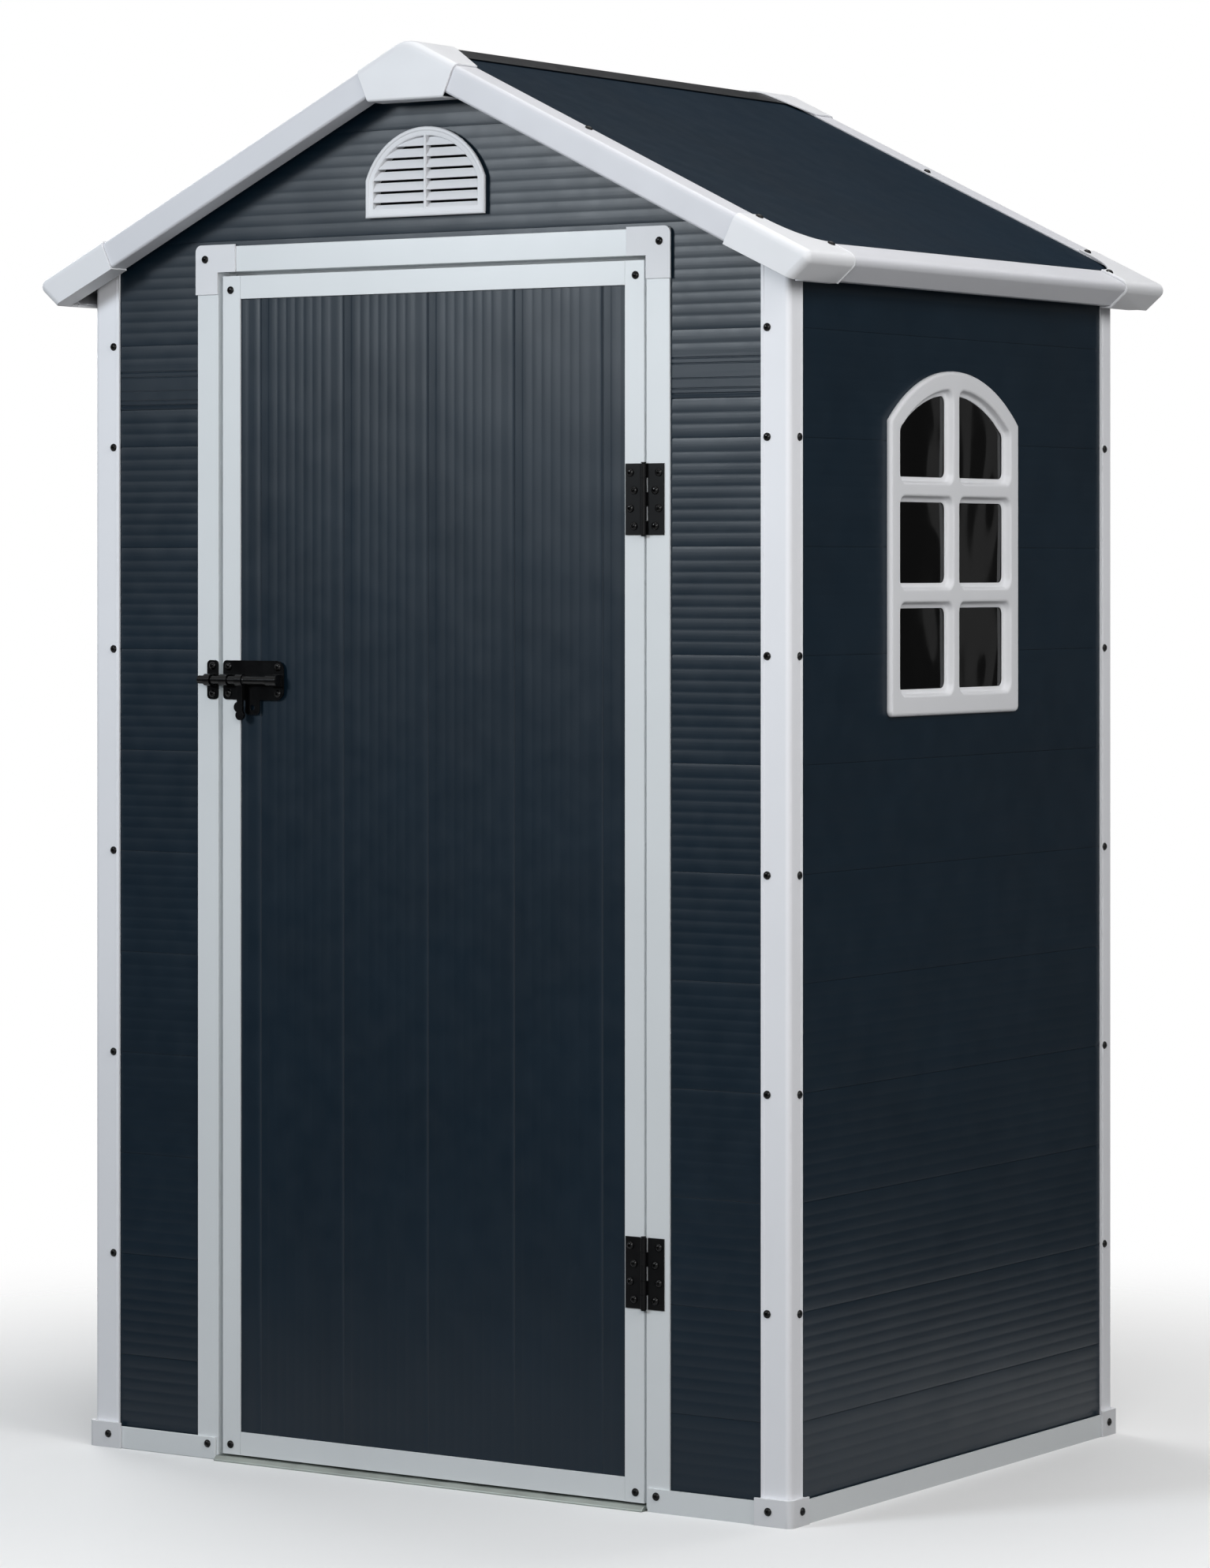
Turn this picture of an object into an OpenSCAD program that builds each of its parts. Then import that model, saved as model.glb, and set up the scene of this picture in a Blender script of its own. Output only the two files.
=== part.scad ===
// Garden shed of plastic planks: slotted corner posts, gable roof with moulded trims,
// an outward door on butt hinges with a barrel bolt, an arched window and gable vents.
// Origin on the ground under the middle of the shed, front wall towards -Y, +Z up.

/* [Shed] */
// Width over the outer faces of the corner posts
shed_w = 1186; // [1100:1:1400]
// Depth over the outer faces of the corner posts
shed_d = 910; // [800:1:1300]
// Rise of the roof from the top of the door opening to where the panels' top faces would meet
ridge_rise = 307; // [290:1:420]
// Slope of the roof in degrees
roof_pitch = 26; // [22:0.5:27]

/* [Planks and panels] */
// Thickness of a wall or door plank
plank_t = 6; // [4:0.5:9]
// Spacing of the joints between planks
plank_pitch = 146.2; // [120:0.1:180]
// Height of the lowest joint in the walls
first_joint = 136; // [100:1:160]
// Depth of the gable planks' lower edge below the top of the door opening
gable_drop = 195; // [140:1:220]
// Chamfer along the outer edges of a plank
plank_chamfer = 1.2; // [0.5:0.1:1.8]
// Height of the tongue on a plank's upper edge
tongue_h = 5; // [3:0.5:8]
// Thickness of the roof panels
roof_t = 6; // [4:0.5:10]
// Gap between a plank or panel and the piece that holds it
seat_gap = 0.3; // [0.2:0.05:0.5]

/* [Posts and base] */
// Width of a post's flange on the front or back wall
post_front_w = 45; // [36:1:60]
// Width of a post's flange on a side wall
post_side_w = 34; // [28:1:50]
// Thickness of the outer flanges of posts, jambs and base rails
flange_t = 3; // [2:0.1:4]
// Thickness of the inner flanges that close the plank slots
inner_t = 2; // [1.5:0.1:3]
// Radius of a post's outer edge
post_r = 8; // [3:0.5:10]
// Height of the base rails
rail_h = 32; // [26:1:34]
// Depth of a base rail's floor, with its anchor holes
rail_floor_w = 48; // [40:1:70]
// Height of the corner feet
foot_h = 37; // [32:1:60]
// Wall of the corner feet
foot_t = 3; // [2:0.1:4]
// Reach of a foot past the end of each post flange
foot_lap = 7; // [4:1:15]
// Distance between the anchor holes of the left and right base rails, along the shed
anchor_pitch = 600; // [300:1:700]
// Radius of an anchor hole
anchor_r = 4; // [3:0.1:6]
// Distance from the wall's outer face to the anchor holes
anchor_in = 31; // [29:1:34]

/* [Roof trims] */
// Reach of the eaves past the side walls
eave_overhang = 66; // [55:1:100]
// Reach of the rakes past the front and back walls
rake_overhang = 50; // [45:1:100]
// Thickness of the rake and eave trims and of the ridge capping
trim_t = 2.5; // [1.5:0.1:4]
// Thickness of the moulded caps over the trims
cap_t = 2.5; // [1.5:0.1:4]
// Width of a trim's flange on the roof
trim_flange = 54; // [40:1:70]
// Height of a rake trim's face
rake_h = 41; // [34:1:50]
// Width of the return under a rake trim
rake_lip = 34; // [15:1:38]
// Width of an eave trim's slanted face
fascia_w = 44; // [34:1:48]
// Angle of that face below the horizontal
fascia_angle = 40; // [30:1:60]
// Width of the return under an eave trim
eave_lip = 14; // [6:1:18]
// Half width of a ridge end cap
ridge_cap_reach = 84; // [70:1:120]
// Reach of a ridge end cap's point along the ridge, past the trims
ridge_cap_point = 54; // [20:1:70]
// Drop of a ridge end cap below the lower edges of the rakes
ridge_cap_drop = 5; // [0:0.5:10]
// Radius over the peak of the ridge pieces
peak_r = 45; // [30:1:50]
// Half width of the ridge capping
ridge_strip_reach = 45; // [30:1:50]
// Length of a corner cap along the rake
corner_rake = 134; // [110:1:170]
// Length of a corner cap along the eave
corner_eave = 120; // [105:1:160]

/* [Door frame] */
// Width of the door opening between the jambs
opening_w = 732; // [660:1:780]
// Height of the door opening
opening_h = 1700; // [1500:1:1950]
// Width of the jambs and the head
jamb_w = 37; // [30:1:45]
// Depth of the jambs and the head
jamb_d = 30; // [28:1:40]
// Width of the lip that stops the door
stop_w = 12; // [10:1:20]
// Length of a head corner cap's legs
head_cap_leg = 71; // [50:1:100]
// Height of the threshold under the door
sill_h = 7.5; // [4:0.5:9]
// Reach of the threshold in front of the wall
sill_reach = 12; // [6:1:20]

/* [Door] */
// Gap beside the door at its hinges
hinge_side_gap = 4; // [3:0.5:6]
// Gap beside the door at its bolt
bolt_side_gap = 8; // [4:0.5:10]
// Gap over the door
door_top_gap = 6; // [3:0.5:10]
// Height of the door's lower edge
door_lift = 10; // [10:0.5:16]
// Thickness of the door
door_t = 26; // [22:0.5:27]
// Width of the door's stiles
stile_w = 31; // [26:1:40]
// Height of the door's top and bottom rails
door_rail_h = 33; // [26:1:45]

/* [Hinges] */
// Height of a hinge
hinge_h = 97; // [70:1:120]
// Width of one hinge leaf from the pin's axis
leaf_w = 31; // [28:1:36]
// Thickness of a hinge leaf
leaf_t = 2; // [1.5:0.1:3]
// Outer radius of the hinge knuckles
knuckle_r = 4.5; // [4.2:0.1:6]
// Radius of the hinge pins
hinge_pin_r = 2.5; // [1.5:0.1:3]
// Height of the middle of the lower hinge
lower_hinge_z = 322; // [200:1:500]
// Depth of the middle of the upper hinge below the top of the door opening
upper_hinge_drop = 330; // [150:1:600]

/* [Bolt] */
// Height of the bolt's axis
bolt_z = 1117; // [900:1:1250]
// Radius of the bolt's rod
rod_r = 6; // [4:0.1:7]
// Travel of the bolt
bolt_travel = 36; // [30:1:38]
// Length of the bolt's plate
bolt_plate_w = 108; // [104:1:130]
// Height of the bolt's plate and of the keeper
bolt_plate_h = 56; // [48:1:70]
// Thickness of the plates of bolt and keeper
bolt_plate_t = 2; // [1.5:0.1:3]
// Length of the handle below the rod's axis
handle_drop = 57; // [45:1:70]
// Radius of the hole in the padlock lug
padlock_r = 4; // [2.5:0.1:5]

/* [Window] */
// Width of the window frame
window_w = 360; // [300:1:420]
// Height of the frame's straight sides
window_side_h = 408; // [395:1:480]
// Rise of the frame's arch
window_rise = 72; // [50:1:110]
// Depth of the frame's lower edge below the top of the door opening
window_drop = 628; // [580:1:800]
// Place of the window along the wall, from its middle towards the back
window_y = -15; // [-80:1:80]
// Thickness of the frame outside the wall
window_t = 8; // [6:0.5:18]
// Width of the border beside and over the glass
window_border = 33; // [30:1:40]
// Height of the border below the glass
window_sill = 37; // [32:1:42]
// Width of the upright bar at the glass
muntin_w = 34; // [24:1:40]
// Height of the two cross bars at the glass
transom_h = 35; // [24:1:40]
// Height of the lower four lights
pane_h = 112; // [90:1:115]
// Step of the lights towards the frame's outer face
window_reveal = 9; // [4:0.5:10]

/* [Vents] */
// Width of a gable vent
vent_w = 204; // [160:1:220]
// Height of the vent's straight sides
vent_side_h = 53; // [35:1:60]
// Rise of the vent's arch
vent_rise = 72; // [50:1:80]
// Gap between the door head and the vent
vent_lift = 30; // [12:1:36]
// Thickness of the vent outside the wall
vent_t = 9; // [7:0.5:14]
// Width of the vent's rim
vent_rim = 13; // [8:1:18]
// Number of louvre slats
slat_count = 7; // [5:1:9]
// Slope of the slats below the horizontal
slat_tilt = 55; // [40:1:58]

/* [Screws] */
// Radius of a screw's domed head
screw_head_r = 5.6; // [4:0.1:7]
// Height of the domed head
screw_head_h = 3.4; // [2:0.1:4]
// Radius of a screw's shank
screw_r = 2; // [1.2:0.1:2.5]

/* [Hidden] */
$fn = 48;

white = "#e1e4e8";
slate = "#2c3741";
black = "#161618";
smoke = "#5c6670";
zinc = "#8d9589";

// Clearance of a screw in its hole, and of a turning or sliding fit
screw_gap = 0.1;
fit_gap = 0.05;
// Extra length of a cut past the face it leaves
past = 1;

half_w = shed_w / 2;
half_d = shed_d / 2;
ridge_h = opening_h + ridge_rise;
tan_p = tan(roof_pitch);
cos_p = cos(roof_pitch);
sin_p = sin(roof_pitch);
roof_half_w = half_w + eave_overhang;
roof_half_d = half_d + rake_overhang;

slot_w = plank_t + 2 * seat_gap;
arm_t = flange_t + slot_w + inner_t;
face_x = half_w - flange_t - seat_gap;
face_d = half_d - flange_t - seat_gap;
panel_half_w = half_w - arm_t - seat_gap;
panel_half_d = half_d - arm_t - seat_gap;
rail_out = flange_t;
foot_out = rail_out + seat_gap + foot_t;
plank_z0 = flange_t + seat_gap;
tongue_t = plank_t / 3;
tongue_gap = seat_gap;

function row_z(k) = k == 0 ? plank_z0 : first_joint + (k - 1) * plank_pitch;
row_count = floor((ridge_h - first_joint) / plank_pitch) + 2;

// Frame screws sit on every second joint below the eaves, in front also on the highest one
post_screw_in = 35;
side_screw_in = 25;
eave_room = 60;
eave_z = ridge_h - roof_t / cos_p - half_w * tan_p;
last_row = floor((eave_z - eave_room - first_joint) / plank_pitch) + 1;
side_screw_rows = [for (k = [2 : 2 : last_row]) k];
front_screw_rows = concat(side_screw_rows, last_row % 2 == 1 ? [last_row] : []);
post_screw_len = arm_t;
foot_screw_z = 20;
foot_screw_in = 30;
foot_side_in = 22;
foot_screw_len = foot_out + arm_t;

opening_half = opening_w / 2;
head_top = opening_h + jamb_w;
gable_joint = opening_h - gable_drop;
rail_end = opening_half + flange_t + seat_gap;
rail_screw_in = 14;
rail_screw_z = 22;
head_cap_w = jamb_w + cap_t;
head_cap_r = 10;
head_screw_in = 22;
head_screw_up = 19;

door_x0 = -opening_half + bolt_side_gap;
door_x1 = opening_half - hinge_side_gap;
door_z0 = door_lift;
door_z1 = opening_h - door_top_gap;
slot_floor = 4;
stile_slot = stile_w - slot_floor;
door_slot = door_rail_h - slot_floor;
door_screw_in = 14;
door_screw_drop = 20;

hinge_x = (opening_half + door_x1) / 2;
hinge_y = -half_d - knuckle_r;
knuckle_count = 5;
leaf_gap = 1;
knuckle_relief = knuckle_r + leaf_gap;
hinge_screw_len = leaf_t + flange_t - seat_gap;
hinge_screw_in = 17;
hinge_screw_step = 6;
upper_hinge_z = opening_h - upper_hinge_drop;
hinge_heights = [lower_hinge_z, upper_hinge_z];

// The rod's axis stands off the plate so that the handle's ring clears it
ring_w = 12;
ring_wall = 2.6;
ring_r = rod_r + ring_wall;
ring_gap = 0.6;
bolt_y = -half_d - bolt_plate_t - ring_r - ring_gap;
bolt_x0 = door_x0 + bolt_plate_t;
ring_in = 38;
ring_x = bolt_x0 + ring_in;
shoulder_w = 2;
shoulder_h = 1;
strap_t = 2;
strap_in = 3;
strap_left_w = 14;
strap_right_w = 19;
// Slid back, the rod's tip is level with the edge of the door
rod_tip_x = door_x0 - bolt_travel;
rod_tail_x = bolt_x0 + bolt_plate_w - strap_in;
keeper_w = 20;
keeper_in = 1;
keeper_x0 = -opening_half - keeper_w + keeper_in;
keeper_loop_w = 11;
keeper_gap = 0.6;
plate_corner_r = 6;
lug_w = 25;
lug_h = 21;
lug_in = 40;
lug_x = bolt_x0 + lug_in;
lug_hole_drop = 11;
keeper_screw_in = 8;
bolt_screw_in = 10;
bolt_screw_drop = 9;
bolt_screw_len = bolt_plate_t + flange_t + plank_t / 2;

window_z = opening_h - window_drop;
window_r = (window_w * window_w / 4 + window_rise * window_rise) / (2 * window_rise);
window_lap = 18;
window_neck = 3;
pane_t = 2;
pane_r = 10;
pane_w = (window_w - 2 * window_border - muntin_w) / 2;
retainer_t = 5;
retainer_wall = 8;
vent_z = head_top + vent_lift;
vent_lap = vent_rim - flange_t;
slat_t = 2.4;
mullion_w = 8;

cap_gap = 0.2;
cap_off = cap_gap + cap_t;
ridge_gap = 0.3;
rake_end_gap = 4;
rake_u0 = (ridge_strip_reach + rake_end_gap) / cos_p;
rake_u1 = (roof_half_w - trim_flange - rake_end_gap) / cos_p;
mid_screw_x = 274;
trim_screw_edge = 9;
trim_screw_in = trim_flange - trim_screw_edge;
cap_screw_in = 9;
panel_edge_in = 10;
roof_screw_len = roof_t + trim_t + cap_off;

// Outline helpers: a strip of even width along a path, to the left of its direction
function unit(v) = v / norm(v);
function left_of(v) = [-v[1], v[0]];
function shifted(path, t) = [
    for (i = [0 : len(path) - 1])
        let (before = left_of(unit(i > 0 ? path[i] - path[i - 1] : path[1] - path[0])))
        let (after = i < len(path) - 1 ? left_of(unit(path[i + 1] - path[i])) : before)
        path[i] + t * (before + after) / (1 + before * after)
];
function turned(path) = [for (i = [len(path) - 1 : -1 : 0]) path[i]];
function strip(path, t) = concat(path, turned(shifted(path, t)));

// Points on the roof: u runs down the slope from the ridge, w stands off the panel's top face
function slope_point(u, w) = [u * cos_p + w * sin_p, ridge_h - u * sin_p + w * cos_p];
function rake_path(off) = [
    [-roof_half_d + trim_flange, trim_t + off],
    [-roof_half_d - off, trim_t + off],
    [-roof_half_d - off, trim_t - rake_h - off],
    [-roof_half_d + rake_lip, trim_t - rake_h - off]
];
eave_nose = [roof_half_w, ridge_h - tan_p * roof_half_w + trim_t / cos_p];
eave_path = [
    eave_nose + trim_flange * [-cos_p, sin_p],
    eave_nose,
    eave_nose - fascia_w * [cos(fascia_angle), sin(fascia_angle)],
    eave_nose - fascia_w * [cos(fascia_angle), sin(fascia_angle)] - [eave_lip, 0]
];
// Rounded peak between two points that lie the same way down both slopes
function peak_path(w, reach) =
    let (mid = ridge_h + (w - peak_r) / cos_p)
    let (end = [reach, ridge_h + w / cos_p - reach * tan_p])
    concat([[-end[0], end[1]]],
        [for (i = [-4 : 4]) [peak_r * sin(i * roof_pitch / 4), mid + peak_r * cos(i * roof_pitch / 4)]],
        [end]);

// Placing helpers: shapes are drawn for the right side and the front, then mirrored
module side_of(sx) {
    mirror([sx < 0 ? 1 : 0, 0, 0]) children();
}

module end_of(sy) {
    mirror([0, sy > 0 ? 1 : 0, 0]) children();
}

// The section's x runs along Y, its y along Z, and it is drawn out along X
module along_x(x0, x1) {
    translate([x0, 0, 0]) rotate([90, 0, 90]) linear_extrude(x1 - x0) children();
}

// The section's x runs along X, its y along Z, and it is drawn out along Y
module along_y(y0, y1) {
    translate([0, y1, 0]) rotate([90, 0, 0]) linear_extrude(y1 - y0) children();
}

module on_slope(sx) {
    side_of(sx) translate([0, 0, ridge_h]) rotate([0, roof_pitch, 0]) children();
}

// Everything below the underside of the roof panels
module under_roof() {
    top = ridge_h - (roof_t + seat_gap) / cos_p;
    reach = roof_half_w;
    side = top - reach * tan_p;
    along_y(-roof_half_d, roof_half_d)
        polygon([[0, top], [reach, side], [reach, -past], [-reach, -past], [-reach, side]]);
}

module rounded_plate(w, h, r) {
    translate([r, 0]) square([w - 2 * r, h]);
    translate([0, r]) square([w, h - 2 * r]);
    for (x = [r, w - r], y = [r, h - r]) translate([x, y]) circle(r);
}

// Upright sides with a flat arch over them, centred on x and standing on y = 0
module arched(w, side_h, rise, r, inset = 0) {
    half = w / 2 - inset;
    mid = side_h + rise - r;
    if (mid > inset) translate([-half, inset]) square([2 * half, mid - inset + past]);
    intersection() {
        translate([-half, max(mid, inset)]) square([2 * half, r]);
        translate([0, mid]) circle(r - inset, $fn = 96);
    }
}

// Screws
module screw(length) {
    rotate_extrude() intersection() {
        r = (screw_head_r * screw_head_r + screw_head_h * screw_head_h) / (2 * screw_head_h);
        translate([0, screw_head_h - r]) circle(r);
        square([screw_head_r, screw_head_h]);
    }
    translate([0, 0, -length]) cylinder(r = screw_r, h = length + past);
}

module screw_hole(length) {
    translate([0, 0, -length - past]) cylinder(r = screw_r + screw_gap, h = length + 2 * past);
}

module at_front_posts(sx, sy) {
    for (k = front_screw_rows)
        side_of(sx) end_of(sy) translate([half_w - post_screw_in, -half_d, row_z(k)])
            rotate([90, 0, 0]) children();
}

module at_side_posts(sx, sy) {
    for (k = side_screw_rows)
        side_of(sx) end_of(sy) translate([half_w, -half_d + side_screw_in, row_z(k)])
            rotate([0, 90, 0]) children();
}

module at_feet(sx, sy) {
    side_of(sx) end_of(sy) {
        translate([half_w - foot_screw_in, -half_d - foot_out, foot_screw_z])
            rotate([90, 0, 0]) children();
        translate([half_w + foot_out, -half_d + foot_side_in, foot_screw_z])
            rotate([0, 90, 0]) children();
    }
}

module corner_holes(sx, sy) {
    at_front_posts(sx, sy) screw_hole(post_screw_len);
    at_side_posts(sx, sy) screw_hole(post_screw_len);
    at_feet(sx, sy) screw_hole(foot_screw_len);
}

module at_base_rails(sx) {
    side_of(sx) translate([rail_end + rail_screw_in, -half_d - rail_out, rail_screw_z])
        rotate([90, 0, 0]) children();
}

module at_head_caps(sx) {
    side_of(sx) translate([opening_half + head_screw_in, -half_d - cap_t, opening_h + head_screw_up])
        rotate([90, 0, 0]) children();
}

module at_rakes(sx, sy) {
    on_slope(sx) end_of(sy) translate([mid_screw_x / cos_p, -roof_half_d + trim_screw_in, trim_t]) children();
}

module at_corner_caps(sx, sy) {
    u_nose = roof_half_w / cos_p;
    top = trim_t + cap_off;
    on_slope(sx) end_of(sy) {
        translate([u_nose - corner_rake + cap_screw_in, -roof_half_d + trim_screw_in, top]) children();
        translate([u_nose - trim_screw_in, -roof_half_d + corner_eave - cap_screw_in, top]) children();
    }
}

module roof_holes(sx) {
    for (sy = [-1, 1]) {
        at_rakes(sx, sy) screw_hole(roof_screw_len);
        at_corner_caps(sx, sy) screw_hole(roof_screw_len);
    }
}

module at_hinge_screws(side) {
    for (z = hinge_heights, i = [0 : 3])
        translate([hinge_x + side * (hinge_screw_in + hinge_screw_step * (i % 2)), -half_d - leaf_t, z])
            translate([0, 0, (i - 1.5) * hinge_h / 4]) rotate([90, 0, 0]) children();
}

module at_keeper_screws() {
    for (s = [-1, 1])
        translate([keeper_x0 + keeper_w / 2, -half_d - bolt_plate_t, bolt_z])
            translate([0, 0, s * (bolt_plate_h / 2 - keeper_screw_in)]) rotate([90, 0, 0]) children();
}

module at_bolt_screws() {
    for (x = [bolt_screw_in, bolt_plate_w - bolt_screw_in], s = [-1, 1])
        translate([bolt_x0 + x, -half_d - bolt_plate_t, bolt_z + s * (bolt_plate_h / 2 - bolt_screw_drop)])
            rotate([90, 0, 0]) children();
}

module at_door_corners() {
    for (x = [door_x0 + door_screw_in, door_x1 - door_screw_in])
        for (z = [door_z0 + door_screw_in, door_z1 - door_screw_drop])
            translate([x, -half_d, z]) rotate([90, 0, 0]) children();
}

// Base
module foot(sx, sy) {
    lap_x = half_w - post_front_w - foot_lap;
    lap_y = -half_d + post_side_w + foot_lap;
    color(white) difference() {
        side_of(sx) end_of(sy) {
            linear_extrude(foot_h) difference() {
                translate([lap_x, -half_d - foot_out])
                    square([half_w + foot_out - lap_x, lap_y + half_d + foot_out]);
                translate([lap_x - past, -half_d])
                    square([half_w - lap_x + past, lap_y + half_d + past]);
                translate([lap_x - past, -half_d - rail_out - seat_gap])
                    square([foot_lap + past, foot_out]);
                translate([half_w - past, lap_y - foot_lap])
                    square([past + rail_out + seat_gap, foot_lap + past]);
            }
            linear_extrude(flange_t) {
                translate([half_w - post_front_w, -half_d - foot_out])
                    square([post_front_w + foot_out, arm_t + foot_out]);
                translate([half_w - arm_t, -half_d - foot_out])
                    square([arm_t + foot_out, post_side_w + foot_out]);
            }
        }
        at_feet(sx, sy) screw_hole(foot_screw_len);
    }
}

// Outer face at x = 0, inwards along +x
module base_rail_section() {
    translate([-rail_out, 0]) square([rail_out, rail_h]);
    translate([-rail_out, 0]) square([rail_floor_w, flange_t]);
    translate([arm_t + seat_gap, 0]) square([inner_t, rail_h / 2]);
}

module base_rail_front(sx) {
    color(white) difference() {
        side_of(sx) along_x(rail_end, half_w - post_front_w - seat_gap)
            translate([-half_d, 0]) base_rail_section();
        at_base_rails(sx) screw_hole(post_screw_len + rail_out);
    }
}

module base_rail_back() {
    reach = half_w - post_front_w - seat_gap;
    color(white) rotate(180) along_x(-reach, reach) translate([-half_d, 0]) base_rail_section();
}

module base_rail_side(sx) {
    reach = half_d - post_side_w - seat_gap;
    color(white) difference() {
        rotate(sx * 90) along_x(-reach, reach) translate([-half_w, 0]) base_rail_section();
        for (s = [-1, 1])
            translate([sx * (half_w - anchor_in), s * anchor_pitch / 2, -past])
                cylinder(r = anchor_r, h = flange_t + 2 * past);
    }
}

module door_threshold() {
    back = -half_d + jamb_d;
    color(zinc) along_x(-opening_half + seat_gap, opening_half - seat_gap)
        polygon([
            [-half_d - sill_reach, 0], [back, 0], [back, door_lift + stop_w],
            [back - inner_t, door_lift + stop_w], [back - inner_t, sill_h],
            [-half_d - sill_reach / 2, sill_h], [-half_d - sill_reach, sill_h / 3]
        ]);
}

// Frame
module post_section() {
    difference() {
        union() {
            translate([half_w - post_front_w, -half_d]) square([post_front_w, arm_t]);
            translate([half_w - arm_t, -half_d]) square([arm_t, post_side_w]);
        }
        translate([half_w - post_front_w - past, -half_d + flange_t])
            square([post_front_w - arm_t + past, slot_w]);
        translate([half_w - flange_t - slot_w, -half_d + arm_t])
            square([slot_w, post_side_w]);
        translate([half_w - post_r, -half_d + post_r]) difference() {
            translate([0, -post_r - past]) square(post_r + past);
            circle(post_r);
        }
    }
}

module post(sx, sy) {
    color(white) difference() {
        intersection() {
            side_of(sx) end_of(sy) translate([0, 0, flange_t]) linear_extrude(ridge_h) post_section();
            under_roof();
        }
        corner_holes(sx, sy);
    }
}

module wall_plates() {
    plate_w = 26;
    plate_h = 40;
    top = ridge_h - tan_p * half_w;
    color(white) intersection() {
        for (sx = [-1, 1])
            side_of(sx) along_y(-panel_half_d, panel_half_d)
                translate([panel_half_w - plate_w, top - plate_h]) square([plate_w, 2 * plate_h]);
        under_roof();
    }
}

module ridge_beam() {
    beam_w = 30;
    beam_h = 50;
    reach = face_d - plank_t - seat_gap;
    color(zinc) intersection() {
        along_y(-reach, reach) translate([-beam_w / 2, ridge_h - roof_t - beam_h]) square([beam_w, beam_h]);
        under_roof();
    }
}

// Planks. Outer face at x = 0, lower edge at y = 0, tongue up, groove down
module plank_section(h, grooved, tongued) {
    c = plank_chamfer;
    mid = plank_t / 2;
    difference() {
        union() {
            polygon([[c, 0], [plank_t, 0], [plank_t, h], [c, h], [0, h - c], [0, c]]);
            if (tongued) translate([mid - tongue_t / 2, h - past]) square([tongue_t, tongue_h + past]);
        }
        if (grooved)
            translate([mid - tongue_t / 2 - tongue_gap, -past])
                square([tongue_t + 2 * tongue_gap, tongue_h + tongue_gap + past]);
    }
}

// Rows of planks between two heights, along X, with their outer face towards -Y
module plank_rows(x0, x1, face, z0, z1) {
    for (k = [0 : row_count - 1]) {
        low = max(row_z(k), z0);
        high = min(row_z(k + 1), z1);
        if (high - low > 2 * tongue_h)
            along_x(x0, x1) translate([-face, low])
                plank_section(high - low - seat_gap, low > z0, high < z1);
    }
}

module front_planks(x0, x1, z0, z1) {
    difference() {
        intersection() {
            plank_rows(x0, x1, face_d, z0, z1);
            under_roof();
        }
        for (sx = [-1, 1]) {
            at_front_posts(sx, -1) screw_hole(post_screw_len);
            at_feet(sx, -1) screw_hole(foot_screw_len);
            at_base_rails(sx) screw_hole(post_screw_len + rail_out);
        }
        door_cut = opening_half + flange_t + seat_gap;
        translate([-door_cut, -half_d, -past])
            cube([2 * door_cut, jamb_d, opening_h + flange_t + seat_gap + past]);
        at_vent(-1) translate([0, 0, -plank_t - past])
            linear_extrude(plank_t + 2 * past) vent_outline(vent_lap);
        for (sx = [-1, 1]) at_head_caps(sx) screw_hole(post_screw_len + cap_t);
    }
}

module planks_front_side(sx) {
    x = [sx * panel_half_w, sx * opening_half];
    color(slate) front_planks(min(x), max(x), plank_z0, gable_joint);
}

module planks_front_gable() {
    color(slate) front_planks(-panel_half_w, panel_half_w, gable_joint, ridge_h);
}

module planks_side(sx) {
    color(slate) difference() {
        intersection() {
            rotate(sx * 90) plank_rows(-panel_half_d, panel_half_d, face_x, plank_z0, ridge_h);
            under_roof();
        }
        for (sy = [-1, 1]) {
            at_side_posts(sx, sy) screw_hole(post_screw_len);
            at_feet(sx, sy) screw_hole(foot_screw_len);
        }
        if (sx > 0)
            at_window() translate([0, 0, -plank_t - past])
                linear_extrude(plank_t + 2 * past) window_outline(window_lap);
    }
}

module planks_back() {
    color(slate) difference() {
        intersection() {
            rotate(180) plank_rows(-panel_half_w, panel_half_w, face_d, plank_z0, ridge_h);
            under_roof();
        }
        for (sx = [-1, 1]) {
            at_front_posts(sx, 1) screw_hole(post_screw_len);
            at_feet(sx, 1) screw_hole(foot_screw_len);
        }
        at_vent(1) translate([0, 0, -plank_t - past])
            linear_extrude(plank_t + 2 * past) vent_outline(vent_lap);
    }
}

// Door frame
module jamb_holes() {
    for (sx = [-1, 1]) {
        at_base_rails(sx) screw_hole(post_screw_len + rail_out);
        at_head_caps(sx) screw_hole(post_screw_len + cap_t);
    }
    at_hinge_screws(1) screw_hole(hinge_screw_len);
    at_keeper_screws() screw_hole(hinge_screw_len);
}

// The flanges run up beside the head, the web ends under it, and the stop lip ends at the threshold's
module door_jamb(sx) {
    rear_w = jamb_w - 2 * inner_t;
    stop_z0 = door_lift + stop_w + seat_gap;
    color(white) difference() {
        side_of(sx) translate([opening_half, -half_d, 0]) {
            translate([0, 0, plank_z0]) linear_extrude(head_top - plank_z0) {
                square([jamb_w, flange_t]);
                translate([0, flange_t + slot_w]) square([rear_w, inner_t]);
            }
            translate([0, 0, plank_z0]) linear_extrude(opening_h + flange_t - plank_z0)
                square([flange_t, jamb_d]);
            translate([-stop_w, jamb_d - inner_t, stop_z0])
                linear_extrude(opening_h - seat_gap - stop_z0) square([stop_w + flange_t, inner_t]);
        }
        jamb_holes();
    }
}

module door_head() {
    rear_w = jamb_w - 2 * inner_t;
    reach = opening_half - seat_gap;
    color(white) {
        along_x(-reach, reach) translate([-half_d, opening_h]) {
            square([flange_t, jamb_w]);
            square([jamb_d, flange_t]);
            translate([flange_t + slot_w, 0]) square([inner_t, rear_w]);
        }
        lip = reach - stop_w;
        along_x(-lip, lip) translate([-half_d + jamb_d - inner_t, opening_h - stop_w])
            square([inner_t, stop_w + flange_t]);
    }
}

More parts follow.
